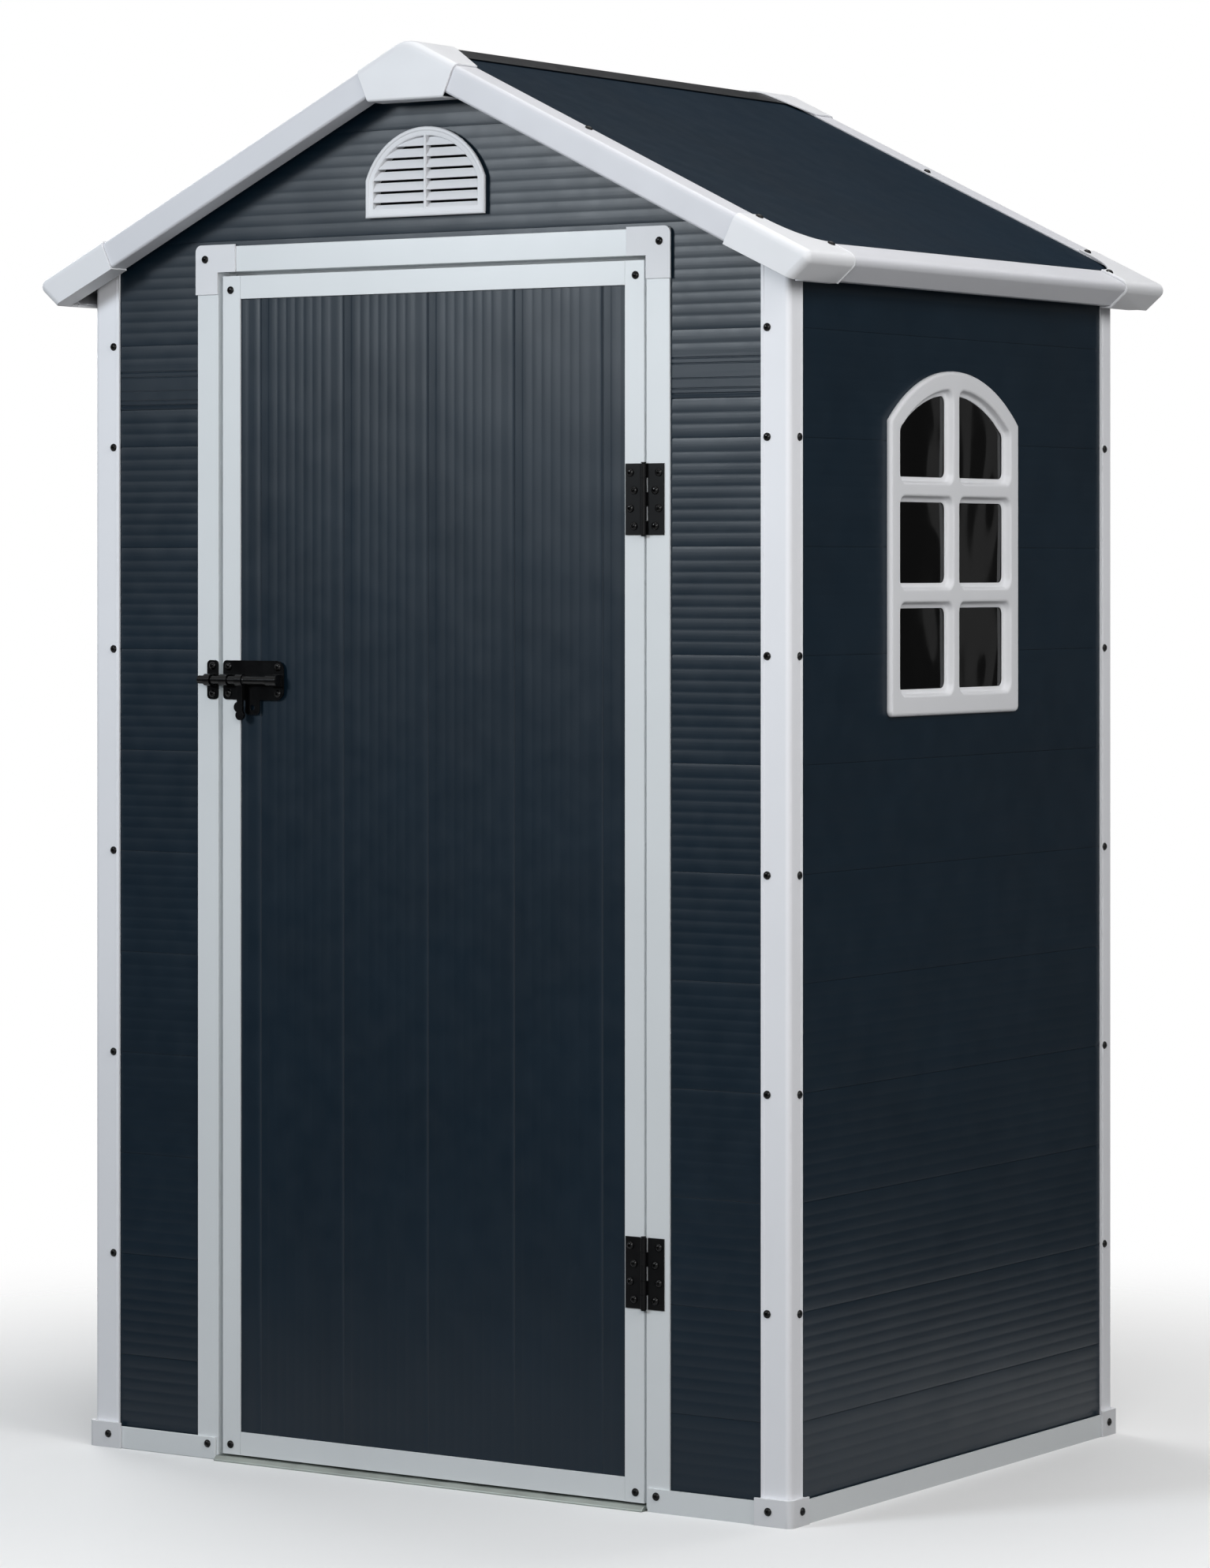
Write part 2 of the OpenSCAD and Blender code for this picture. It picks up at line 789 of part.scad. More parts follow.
module head_caps() {
    far_x = opening_half + head_cap_w;
    far_z = opening_h + head_cap_w;
    color(white) difference() {
        for (sx = [-1, 1])
            side_of(sx) along_y(-half_d - cap_t, -half_d) difference() {
                union() {
                    translate([far_x - head_cap_leg, opening_h]) square([head_cap_leg, head_cap_w]);
                    translate([opening_half, far_z - head_cap_leg]) square([head_cap_w, head_cap_leg]);
                }
                translate([far_x - head_cap_r, far_z - head_cap_r]) difference() {
                    square(head_cap_r + past);
                    circle(head_cap_r);
                }
            }
        for (sx = [-1, 1]) at_head_caps(sx) screw_hole(post_screw_len + cap_t);
    }
}

// Window. Drawn on the wall's outer face, x towards the back, y up, drawn out away from the wall
module at_window() {
    translate([face_x, window_y, window_z]) rotate([90, 0, 90]) children();
}

module window_outline(inset = 0) {
    arched(window_w, window_side_h, window_rise, window_r, inset);
}

module window_lights(grow = 0) {
    w = pane_w + 2 * grow;
    r = pane_r + grow / 2;
    for (s = [-1, 1]) translate([s * (muntin_w + pane_w) / 2 - w / 2, window_sill - grow]) {
        for (row = [0, 1])
            translate([0, row * (pane_h + transom_h)]) rounded_plate(w, pane_h + 2 * grow, r);
        intersection() {
            translate([0, 2 * (pane_h + transom_h)]) rounded_plate(w, window_side_h, r);
            translate([w / 2 - s * (muntin_w + pane_w) / 2, grow - window_sill])
                window_outline(window_border - grow);
        }
    }
}

// A flange outside the wall, with wider lights, and a neck that fills the hole in the planks
module window_frame() {
    color(white) at_window() {
        linear_extrude(window_t) difference() {
            window_outline();
            window_lights(window_reveal);
        }
        translate([0, 0, -window_neck]) linear_extrude(window_neck + past) difference() {
            window_outline(window_lap + seat_gap);
            window_lights();
        }
    }
}

module window_pane() {
    color(smoke) at_window() translate([0, 0, -window_neck - seat_gap - pane_t])
        linear_extrude(pane_t) window_outline(window_lap + seat_gap);
}

module window_retainer() {
    front = -window_neck - pane_t - 2 * seat_gap;
    back = -plank_t - seat_gap;
    color(white) at_window() {
        translate([0, 0, back]) linear_extrude(front - back) difference() {
            window_outline(window_lap + seat_gap);
            window_outline(window_lap + retainer_wall);
        }
        translate([0, 0, back - retainer_t]) linear_extrude(retainer_t) difference() {
            window_outline(flange_t);
            window_outline(window_lap + retainer_wall);
        }
    }
}

// Vents. Drawn on the gable's outer face, x across, y up, drawn out away from the wall
module at_vent(sy) {
    translate([0, sy * face_d, vent_z]) rotate([90, 0, sy < 0 ? 0 : 180]) children();
}

module vent_outline(inset = 0) {
    r = (vent_w * vent_w / 4 + vent_rise * vent_rise) / (2 * vent_rise);
    arched(vent_w, vent_side_h, vent_rise, r, inset);
}

module vent(sy) {
    inner_h = vent_side_h + vent_rise - 2 * vent_rim;
    pitch = (inner_h + 2 * past) / (slat_count - 1);
    slat_w = vent_t / cos(slat_tilt);
    color(white) at_vent(sy) {
        linear_extrude(vent_t) difference() {
            vent_outline();
            vent_outline(vent_rim);
        }
        intersection() {
            linear_extrude(vent_t) vent_outline(vent_rim - past);
            union() {
                for (i = [0 : slat_count - 1])
                    translate([0, vent_rim - past + i * pitch, vent_t / 2])
                        rotate([slat_tilt, 0, 0]) cube([vent_w, slat_t, slat_w], center = true);
                translate([-mullion_w / 2, 0, 0]) cube([mullion_w, vent_w, vent_t - slat_t]);
            }
        }
    }
}

// Roof
module roof_panel(sx) {
    u0 = peak_r * tan_p + ridge_gap;
    u1 = (roof_half_w - panel_edge_in) / cos_p;
    reach = roof_half_d - trim_t - seat_gap;
    color(slate) difference() {
        on_slope(sx) translate([u0, -reach, -roof_t]) cube([u1 - u0, 2 * reach, roof_t]);
        roof_holes(sx);
    }
}

module ridge_strip() {
    reach = roof_half_d - trim_t - seat_gap;
    color(slate) along_y(-reach, reach) polygon(strip(peak_path(trim_t, ridge_strip_reach), -trim_t));
}

module ridge_cap(sy) {
    w_top = trim_t + cap_off;
    w_low = trim_t - rake_h - cap_off;
    u = (ridge_cap_reach - w_top * sin_p) / cos_p;
    low = slope_point(u, w_low) - [0, ridge_cap_drop];
    top_path = peak_path(w_top, ridge_cap_reach);
    front = -roof_half_d - cap_off;
    back = -roof_half_d + trim_flange;
    color(white) end_of(sy) {
        intersection() {
            along_y(front, back + ridge_cap_point) polygon(strip(top_path, -cap_t));
            linear_extrude(2 * ridge_h) polygon([
                [-ridge_cap_reach - past, front - past], [ridge_cap_reach + past, front - past],
                [ridge_cap_reach + past, back], [0, back + ridge_cap_point], [-ridge_cap_reach - past, back]
            ]);
        }
        along_y(front, front + cap_t) polygon(concat(top_path, [low, [-low[0], low[1]]]));
        along_y(front, -roof_half_d + rake_lip)
            translate([-low[0], low[1]]) square([2 * low[0], cap_t]);
    }
}

module rake(sx, sy) {
    color(white) difference() {
        on_slope(sx) end_of(sy) along_x(rake_u0, rake_u1) polygon(strip(rake_path(0), trim_t));
        at_rakes(sx, sy) screw_hole(roof_screw_len);
        at_corner_caps(sx, sy) screw_hole(roof_screw_len);
    }
}

module eave(sx) {
    reach = roof_half_d - trim_flange - seat_gap;
    color(white) difference() {
        side_of(sx) along_y(-reach, reach) polygon(strip(eave_path, -trim_t));
        for (sy = [-1, 1]) at_corner_caps(sx, sy) screw_hole(roof_screw_len);
    }
}

module corner_cap(sx, sy) {
    w_top = trim_t + cap_off;
    w_low = trim_t - rake_h - cap_off;
    u_nose = roof_half_w / cos_p;
    u_seam = u_nose - corner_rake;
    u_end = u_nose - trim_flange + rake_lip / 2;
    front = -roof_half_d - cap_off;
    seam_y = -roof_half_d + corner_eave;
    inner_y = -roof_half_d + trim_flange;
    inner_u = u_nose - trim_flange;
    web_r = min(inner_u - u_seam, seam_y - inner_y);
    outer = shifted(eave_path, cap_off);
    color(white) difference() {
        union() {
            on_slope(sx) end_of(sy) {
                along_x(u_seam, u_end) polygon(strip(rake_path(cap_off), cap_t));
                translate([0, 0, trim_t + cap_gap]) linear_extrude(cap_t) difference() {
                    translate([inner_u - web_r, inner_y - past]) square([web_r + past, web_r + past]);
                    translate([inner_u - web_r, inner_y + web_r]) circle(web_r);
                }
            }
            side_of(sx) end_of(sy) {
                along_y(front, seam_y) polygon(strip(outer, -cap_t));
                along_y(front, front + cap_t)
                    polygon([slope_point(u_seam, w_top), outer[1], outer[2], slope_point(u_seam, w_low)]);
            }
        }
        at_corner_caps(sx, sy) screw_hole(roof_screw_len);
    }
}

// Door
module stile_section() {
    difference() {
        square([stile_w, door_t]);
        translate([stile_w - stile_slot, flange_t]) square([stile_slot + past, slot_w]);
        translate([flange_t, arm_t]) square([stile_w - 2 * flange_t, door_t - arm_t - inner_t]);
    }
}

module door_stile_bolt_side() {
    color(white) difference() {
        translate([door_x0, -half_d, door_z0]) linear_extrude(door_z1 - door_z0) stile_section();
        at_door_corners() screw_hole(flange_t + plank_t);
        at_bolt_screws() screw_hole(bolt_screw_len);
    }
}

module door_stile_hinge_side() {
    color(white) difference() {
        translate([door_x1, -half_d, door_z0]) linear_extrude(door_z1 - door_z0)
            mirror([1, 0]) stile_section();
        at_door_corners() screw_hole(flange_t + plank_t);
        at_hinge_screws(-1) screw_hole(hinge_screw_len);
    }
}

// Outer edge at y = 0, towards the planks along +y
module door_rail_section() {
    difference() {
        square([door_t, door_rail_h]);
        translate([flange_t, door_rail_h - door_slot]) square([slot_w, door_slot + past]);
        translate([arm_t, flange_t]) square([door_t - arm_t - inner_t, door_rail_h - 2 * flange_t]);
    }
}

module door_rail_bottom() {
    color(white) along_x(door_x0 + stile_w + seat_gap, door_x1 - stile_w - seat_gap)
        translate([-half_d, door_z0]) door_rail_section();
}

module door_rail_top() {
    color(white) along_x(door_x0 + stile_w + seat_gap, door_x1 - stile_w - seat_gap)
        translate([-half_d, door_z1]) mirror([0, 1]) door_rail_section();
}

// Upright planks, drawn as rows and turned on edge, with a joint on the middle of the opening
module door_planks() {
    x0 = door_x0 + stile_w - stile_slot + seat_gap;
    x1 = door_x1 - stile_w + stile_slot - seat_gap;
    z0 = door_z0 + door_rail_h - door_slot + seat_gap;
    z1 = door_z1 - door_rail_h + door_slot - seat_gap;
    steps = ceil(opening_half / plank_pitch);
    color(slate) difference() {
        for (k = [-steps : steps - 1]) {
            low = max(k * plank_pitch, x0);
            high = min((k + 1) * plank_pitch, x1);
            if (high - low > 2 * tongue_h)
                translate([low, -face_d, z0]) linear_extrude(z1 - z0)
                    mirror([1, 0]) rotate(90) plank_section(high - low - seat_gap, low > x0, high < x1);
        }
        at_bolt_screws() screw_hole(bolt_screw_len);
        at_door_corners() screw_hole(flange_t + plank_t);
    }
}

// Hinges. The jamb leaf holds the outer knuckles of the upper hinge, the door leaf those of the lower
module hinge_leaf(side, z, first) {
    step = hinge_h / knuckle_count;
    knuckle_h = step - seat_gap;
    difference() {
        union() {
            translate([hinge_x, -half_d - leaf_t, z - hinge_h / 2])
                mirror([side < 0 ? 1 : 0, 0, 0])
                    translate([knuckle_relief, 0, 0]) cube([leaf_w - knuckle_relief, leaf_t, hinge_h]);
            for (k = [first : 2 : knuckle_count - 1])
                translate([hinge_x, hinge_y, z - hinge_h / 2 + k * step + seat_gap / 2]) {
                    cylinder(r = knuckle_r, h = knuckle_h);
                    mirror([side < 0 ? 1 : 0, 0, 0]) translate([0, knuckle_r - leaf_t, 0])
                        cube([knuckle_relief + past, leaf_t, knuckle_h]);
                }
        }
        translate([hinge_x, hinge_y, z - hinge_h]) cylinder(r = hinge_pin_r + fit_gap, h = 2 * hinge_h);
        at_hinge_screws(side) screw_hole(hinge_screw_len);
    }
}

module hinge_leaves_jamb() {
    color(black) {
        hinge_leaf(1, upper_hinge_z, 0);
        hinge_leaf(1, lower_hinge_z, 1);
    }
}

module hinge_leaves_door() {
    color(black) {
        hinge_leaf(-1, upper_hinge_z, 1);
        hinge_leaf(-1, lower_hinge_z, 0);
    }
}

module hinge_pins() {
    head_h = 1.5;
    reach = hinge_h / 2 + seat_gap;
    color(black) for (z = hinge_heights) translate([hinge_x, hinge_y, z]) {
        cylinder(r = hinge_pin_r, h = 2 * reach, center = true);
        for (s = [-1, 1])
            translate([0, 0, s * (reach + head_h / 2)])
                cylinder(r = (hinge_pin_r + knuckle_r) / 2, h = head_h, center = true);
    }
}

// Bolt
module strap(x0, w, bore_r) {
    r = bore_r + strap_t;
    translate([x0, bolt_y, bolt_z]) {
        rotate([0, 90, 0]) cylinder(r = r, h = w);
        translate([0, 0, -r]) cube([w, -half_d - bolt_plate_t / 2 - bolt_y, 2 * r]);
    }
}

module rod_bore(r) {
    translate([-shed_w / 2, bolt_y, bolt_z]) rotate([0, 90, 0]) cylinder(r = r, h = shed_w);
}

module bolt_plate() {
    lug_z = bolt_z - bolt_plate_h / 2;
    color(black) difference() {
        union() {
            along_y(-half_d - bolt_plate_t, -half_d) {
                translate([bolt_x0, lug_z]) rounded_plate(bolt_plate_w, bolt_plate_h, plate_corner_r);
                translate([lug_x, lug_z - lug_h])
                    rounded_plate(lug_w, lug_h + 2 * plate_corner_r, plate_corner_r);
            }
            strap(bolt_x0 + strap_in, strap_left_w, rod_r + fit_gap);
            strap(bolt_x0 + bolt_plate_w - strap_in - strap_right_w, strap_right_w, rod_r + fit_gap);
        }
        rod_bore(rod_r + fit_gap);
        at_bolt_screws() screw_hole(bolt_screw_len);
        translate([lug_x + lug_w / 2, -half_d, lug_z - lug_hole_drop]) rotate([90, 0, 0])
            cylinder(r = padlock_r, h = 4 * bolt_plate_t, center = true);
    }
}

// The rod has a shoulder on each side of the handle's ring
module bolt_rod() {
    tip = 2;
    color(black) translate([0, bolt_y, bolt_z]) rotate([0, 90, 0]) {
        translate([0, 0, rod_tip_x]) cylinder(r1 = rod_r - tip, r2 = rod_r, h = tip);
        translate([0, 0, rod_tip_x + tip]) cylinder(r = rod_r, h = rod_tail_x - rod_tip_x - tip);
        for (s = [-1, 1])
            translate([0, 0, ring_x + s * (ring_w / 2 + seat_gap + shoulder_w / 2)])
                cylinder(r = rod_r + shoulder_h, h = shoulder_w, center = true);
    }
}

module bolt_handle() {
    tab_w = 9;
    tab_t = 5;
    grip_r = 7;
    color(black) translate([ring_x, bolt_y, bolt_z]) difference() {
        union() {
            rotate([0, 90, 0]) cylinder(r = ring_r, h = ring_w, center = true);
            translate([-tab_w / 2, -tab_t / 2, -handle_drop + grip_r])
                cube([tab_w, tab_t, handle_drop - grip_r]);
            translate([0, 0, -handle_drop + grip_r]) rotate([90, 0, 0])
                cylinder(r = grip_r, h = tab_t, center = true);
        }
        rotate([0, 90, 0]) cylinder(r = rod_r + fit_gap, h = 2 * ring_w, center = true);
    }
}

module bolt_keeper() {
    color(black) difference() {
        union() {
            along_y(-half_d - bolt_plate_t, -half_d)
                translate([keeper_x0, bolt_z - bolt_plate_h / 2])
                    rounded_plate(keeper_w, bolt_plate_h, plate_corner_r);
            strap(keeper_x0 + (keeper_w - keeper_loop_w) / 2, keeper_loop_w, rod_r + keeper_gap);
        }
        rod_bore(rod_r + keeper_gap);
        at_keeper_screws() screw_hole(hinge_screw_len);
    }
}

module frame_screws() {
    color(black) {
        for (sx = [-1, 1]) {
            for (sy = [-1, 1]) {
                at_front_posts(sx, sy) screw(post_screw_len);
                at_side_posts(sx, sy) screw(post_screw_len);
                at_feet(sx, sy) screw(foot_screw_len);
                at_rakes(sx, sy) screw(roof_t + trim_t);
                at_corner_caps(sx, sy) screw(roof_screw_len);
            }
            at_base_rails(sx) screw(post_screw_len + rail_out);
            at_head_caps(sx) screw(post_screw_len + cap_t);
        }
        at_hinge_screws(1) screw(hinge_screw_len);
        at_keeper_screws() screw(hinge_screw_len);
    }
}

module door_screws() {
    color(black) {
        at_door_corners() screw(flange_t + plank_t);
        at_hinge_screws(-1) screw(hinge_screw_len);
        at_bolt_screws() screw(bolt_screw_len);
    }
}

foot(-1, -1);  // foot_front_left
foot(1, -1);  // foot_front_right
foot(-1, 1);  // foot_back_left
foot(1, 1);  // foot_back_right
base_rail_front(-1);  // base_rail_front_left
base_rail_front(1);  // base_rail_front_right
base_rail_side(-1);  // base_rail_left
base_rail_side(1);  // base_rail_right
base_rail_back();
door_threshold();
post(-1, -1);  // post_front_left
post(1, -1);  // post_front_right
post(-1, 1);  // post_back_left
post(1, 1);  // post_back_right
wall_plates();
ridge_beam();
planks_front_side(-1);  // planks_front_left
planks_front_side(1);  // planks_front_right
planks_front_gable();
planks_side(-1);  // planks_left
planks_side(1);  // planks_right
planks_back();
door_jamb(-1);  // door_jamb_left
door_jamb(1);  // door_jamb_right
door_head();
head_caps();
window_frame();
window_pane();
window_retainer();
vent(-1);  // vent_front
vent(1);  // vent_back
roof_panel(-1);  // roof_panel_left
roof_panel(1);  // roof_panel_right
ridge_strip();
ridge_cap(-1);  // ridge_cap_front
ridge_cap(1);  // ridge_cap_back
rake(-1, -1);  // rake_front_left
rake(1, -1);  // rake_front_right
rake(-1, 1);  // rake_back_left
rake(1, 1);  // rake_back_right
eave(-1);  // eave_left
eave(1);  // eave_right
corner_cap(-1, -1);  // corner_cap_front_left
corner_cap(1, -1);  // corner_cap_front_right
corner_cap(-1, 1);  // corner_cap_back_left
corner_cap(1, 1);  // corner_cap_back_right
door_stile_bolt_side();
door_stile_hinge_side();
door_rail_top();
door_rail_bottom();
door_planks();
hinge_leaves_jamb();
hinge_leaves_door();
hinge_pins();
bolt_plate();
bolt_rod();
bolt_handle();
bolt_keeper();
frame_screws();
door_screws();
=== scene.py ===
"""Garden storage shed of plastic boards: its surfaces, trims and finishes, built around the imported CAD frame."""

import math

import bmesh
import bpy
from mathutils import Matrix, Vector


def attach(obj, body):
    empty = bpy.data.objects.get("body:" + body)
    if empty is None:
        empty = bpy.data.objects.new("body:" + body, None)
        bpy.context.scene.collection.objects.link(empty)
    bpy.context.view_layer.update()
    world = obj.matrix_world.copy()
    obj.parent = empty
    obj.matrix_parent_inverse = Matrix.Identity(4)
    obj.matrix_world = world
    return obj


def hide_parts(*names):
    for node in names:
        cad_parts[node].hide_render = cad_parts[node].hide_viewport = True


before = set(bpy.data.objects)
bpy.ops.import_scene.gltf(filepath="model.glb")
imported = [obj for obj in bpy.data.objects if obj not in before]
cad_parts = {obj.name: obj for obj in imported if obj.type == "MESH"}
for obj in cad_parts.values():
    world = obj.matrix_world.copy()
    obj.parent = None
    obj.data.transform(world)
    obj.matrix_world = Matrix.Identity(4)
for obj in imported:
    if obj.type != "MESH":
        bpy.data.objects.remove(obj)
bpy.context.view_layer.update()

bl_info = {
    "name": "Plastic garden shed",
    "version": (1, 0, 0),
    "blender": (4, 5, 0),
    "location": "View3D > Sidebar > Shed",
    "description": "Dresses the shed's CAD frame with ribbed boards, moulded trims, hardware and a studio",
    "category": "Object",
}

# Millimetres become metres where a mesh is written
MM = 0.001

# Sizes of the CAD solids that the surfaces follow, in millimetres
HALF_W, HALF_D, RIDGE_H = 593.0, 455.0, 2007.0
PITCH = math.radians(26)
SIN_P, COS_P, TAN_P = math.sin(PITCH), math.cos(PITCH), math.tan(PITCH)
FACE_X, FACE_Y, PLANK_T = 589.7, 451.7, 6.0
CAP_NOSE = 11.8
SLIVER = 0.003  # corners of a rounding closer than this are one
POST_FRONT_W, POST_SIDE_W, FOOT_ROUND = 45.0, 34.0, 9.0
BOLT_PLATE_H, PLATE_ROUND = 56.0, 13.0
PANEL_X, PANEL_Y = 581.1, 443.1
PLANK_Z0, FIRST_JOINT, PLANK_PITCH = 3.3, 136.0, 146.2
GABLE_JOINT, DOOR_CUT_X, DOOR_CUT_Z = 1505.0, 369.3, 1703.3
ROOF_HALF_W, ROOF_HALF_D, ROOF_T, SEAT_GAP = 659.0, 505.0, 6.0, 0.3
TRIM_T, TRIM_FLANGE, RAKE_H, RAKE_LIP = 2.5, 54.0, 41.0, 34.0
RAKE_U0, RAKE_U1 = 54.5, 668.7
FASCIA_W, FASCIA_ANGLE, EAVE_LIP = 44.0, math.radians(40), 14.0
CAP_T, CAP_OFF = 2.5, 2.7
CORNER_RAKE, CORNER_EAVE = 134.0, 120.0
PEAK_R, RIDGE_CAP_REACH, RIDGE_CAP_POINT, RIDGE_CAP_DROP = 45.0, 84.0, 54.0, 5.0
DOOR_X0, DOOR_X1, DOOR_Z0, DOOR_Z1 = -358.0, 362.0, 10.0, 1694.0
WINDOW_Y, WINDOW_Z, WINDOW_W, WINDOW_SIDE_H, WINDOW_RISE = -15.0, 1072.0, 360.0, 408.0, 72.0
WINDOW_T, WINDOW_NECK, WINDOW_LAP, PANE_T = 8.0, 3.0, 18.0, 2.0
WINDOW_BORDER, WINDOW_SILL, MUNTIN_W, TRANSOM_H, PANE_H = 33.0, 37.0, 34.0, 35.0, 112.0
PANE_W = (WINDOW_W - 2 * WINDOW_BORDER - MUNTIN_W) / 2
VENT_Z, VENT_W, VENT_SIDE_H, VENT_RISE, VENT_T, VENT_RIM = 1767.0, 204.0, 53.0, 72.0, 9.0, 13.0
SLAT_COUNT, SLAT_FIRST, SLAT_PITCH, SLAT_TILT, SLAT_T = 7, 12.1, 15.4, math.radians(62), 2.4
VENT_LAP, VENT_NECK, VENT_BAR = 10.0, 11.0, 4.8
SCREW_R, SCREW_H, SHANK_R = 5.6, 3.4, 2.0

SIDES = {"left": -1, "right": 1}
ENDS = {"front": -1, "back": 1}


def linear(code):
    """An sRGB hex colour as linear red, green and blue."""
    shares = [int(code[i : i + 2], 16) / 255 for i in (1, 3, 5)]
    return tuple(c / 12.92 if c <= 0.04045 else ((c + 0.055) / 1.055) ** 2.4 for c in shares)


# ---------------------------------------------------------------- properties


def length(name, text, millimetres):
    """A length property with its default in millimetres."""
    return bpy.props.FloatProperty(
        name=name, description=text, default=millimetres * MM, min=0, precision=5, subtype="DISTANCE", unit="LENGTH"
    )


def colour(name, text, code):
    """A colour property with its default as an sRGB hex value."""
    return bpy.props.FloatVectorProperty(
        name=name, description=text, default=linear(code), size=3, min=0, max=1, subtype="COLOR"
    )


class ShedSizes(bpy.types.PropertyGroup):
    """Sizes of the surface detail that the CAD solids leave out."""

    rib_pitch: length("Rib pitch", "Distance between the fine valleys of a board", 15.57)
    rib_depth: length("Rib depth", "How far a valley lies below the crown of a rib", 0.26)
    joint_depth: length("Joint depth", "Depth of the groove between two boards", 0.42)
    lip_depth: length("Lip depth", "Depth of the groove beside a door board's lip and under the gable's hem", 1.3)
    joint_width: length("Joint width", "Width of the groove between two boards", 4.2)
    trim_round: length("Trim rounding", "Radius of the rake's upper front edge", 8.0)
    cap_round: length("Cap rounding", "Radius of the moulded caps' edges", 11.0)
    nose_round: length("Nose rounding", "Radius of the eave's nose", 9.0)
    edge_round: length("Edge rounding", "Radius on the edges of extruded profiles", 1.2)
    steel_round: length("Steel rounding", "Radius on the edges of pressed steel", 0.45)
    pane_wave: length("Pane wave", "How far the thin pane bulges out of flat", 0.8)


class ShedColours(bpy.types.PropertyGroup):
    """Colours of the shed's finishes and of the studio floor."""

    slate: colour("Slate boards", "Extruded board colour", "#0C1D29")
    # The roof sheets' slate is the boards' colour darkened as painted shade, offsetting the strong top lamp
    slate_roof_painted_shade: colour("Slate roof", "Extruded roof sheet colour", "#0A1A26")
    white_profile: colour("White profiles", "Extruded frame colour", "#E2E6E8")
    # The trims' white is the posts' PVC darkened as painted shade
    white_trim_painted_shade: colour("White trims", "Roof trim and post colour", "#D6D7DC")
    # The posts' white is the trims' PVC lightened as painted light
    white_post_painted_light: colour("White posts", "Corner post colour", "#F1F2F6")
    white_moulding: colour("White mouldings", "Moulded cap, vent and window colour", "#E5E6E9")
    black_coat: colour("Black coat", "Powder coat on the hinges", "#070708")
    black_enamel: colour("Black enamel", "Dipped enamel on the bolt", "#030304")
    ridge_strip: colour("Ridge strip", "Flexible strip over the ridge", "#080B10")
    black_screw: colour("Black screws", "Blackened screw heads", "#050506")
    # The clear pane's dark tint is painted shade standing in for the dark inside
    pane_tint_painted_shade: colour("Pane", "Tint of the window pane", "#2E3133")
    zinc: colour("Zinc", "Galvanised threshold and beam", "#A3A9A4")
    floor: colour("Floor", "Studio floor", "#FAFAFA")


# ---------------------------------------------------------------- materials


def add_node(tree, kind, inputs=None, **settings):
    """Adds a node with its settings; an input is a value or the socket that feeds it."""
    node = tree.nodes.new(kind)
    for key, value in settings.items():
        setattr(node, key, value)
    for key, value in (inputs or {}).items():
        if isinstance(value, bpy.types.NodeSocket):
            tree.links.new(value, node.inputs[key])
        else:
            node.inputs[key].default_value = value
    return node


def per_metre(millimetres):
    """The scale of a pattern whose features are that far apart."""
    return 1 / (millimetres * MM)


def surface(name, tint, spread, rough, layers, **sockets):
    """A finish with a mottled colour, uneven gloss and bumps.

    spread is how much lighter and darker the mottle goes, rough the range of roughness, and each layer of bumps is
    (spacing in mm, stretch along X, Y and Z, height in mm).
    """
    found = bpy.data.materials.get(name)
    if found:
        return found
    material = bpy.data.materials.new(name)
    material.use_nodes = True
    tree = material.node_tree
    shader = tree.nodes["Principled BSDF"]
    place = add_node(tree, "ShaderNodeTexCoord").outputs["Object"]
    mottle = add_node(
        tree, "ShaderNodeTexNoise", {"Vector": place, "Scale": per_metre(220), "Detail": 5, "Roughness": 0.6}
    )
    ramp = add_node(tree, "ShaderNodeValToRGB", {"Fac": mottle.outputs["Fac"]})
    for stop, at, gain in zip(ramp.color_ramp.elements, (0.3, 0.7), (1 - spread, 1 + spread)):
        stop.position = at
        stop.color = (*[min(1, c * gain) for c in tint], 1)
    tree.links.new(ramp.outputs["Color"], shader.inputs["Base Color"])
    gloss = add_node(tree, "ShaderNodeTexNoise", {"Vector": place, "Scale": per_metre(38), "Detail": 4})
    spots = add_node(
        tree,
        "ShaderNodeMapRange",
        {"Value": gloss.outputs["Fac"], "From Min": 0.3, "From Max": 0.7, "To Min": rough[0], "To Max": rough[1]},
    )
    tree.links.new(spots.outputs["Result"], shader.inputs["Roughness"])
    normal = None
    for spacing, stretch, height in layers:
        grain = add_node(tree, "ShaderNodeMapping", {"Vector": place, "Scale": stretch})
        bumps = add_node(
            tree,
            "ShaderNodeTexNoise",
            {"Vector": grain.outputs["Vector"], "Scale": per_metre(spacing), "Detail": 0 if spacing > 20 else 2},
        )
        inputs = {"Height": bumps.outputs["Fac"], "Distance": height * MM, "Strength": 1}
        if normal:
            inputs["Normal"] = normal
        normal = add_node(tree, "ShaderNodeBump", inputs).outputs["Normal"]
    if normal:
        tree.links.new(normal, shader.inputs["Normal"])
    for key, value in sockets.items():
        shader.inputs[key.replace("_", " ")].default_value = value
    return material


def colours():
    return bpy.context.scene.shed_colours


def slate(run):
    """Extruded polypropylene, through-coloured: a dull satin skin with die lines along the board.

    run names the way the die lines run. They are about 1 mm apart on the real board and drawn 3 mm apart, so that
    they show.
    """
    stretch = {"level": (0.02, 0.02, 1.0), "upright": (1.0, 0.02, 0.02), "down_slope": (1.0, 0.02, 1.0)}[run]
    return surface(
        "extruded_slate_polypropylene_" + run,
        # Roof sheets take the darker slate colour, which is painted shade
        colours().slate_roof_painted_shade if run == "down_slope" else colours().slate,
        0.10,
        (0.46, 0.56) if run == "down_slope" else (0.32, 0.37),
        [(3.0, stretch, 0.05), (90.0, (1, 1, 1), 0.9), (1.6, (1, 1, 1), 0.02)],
        IOR=1.49,
        Specular_IOR_Level=0.025 if run == "down_slope" else 0.34,
    )


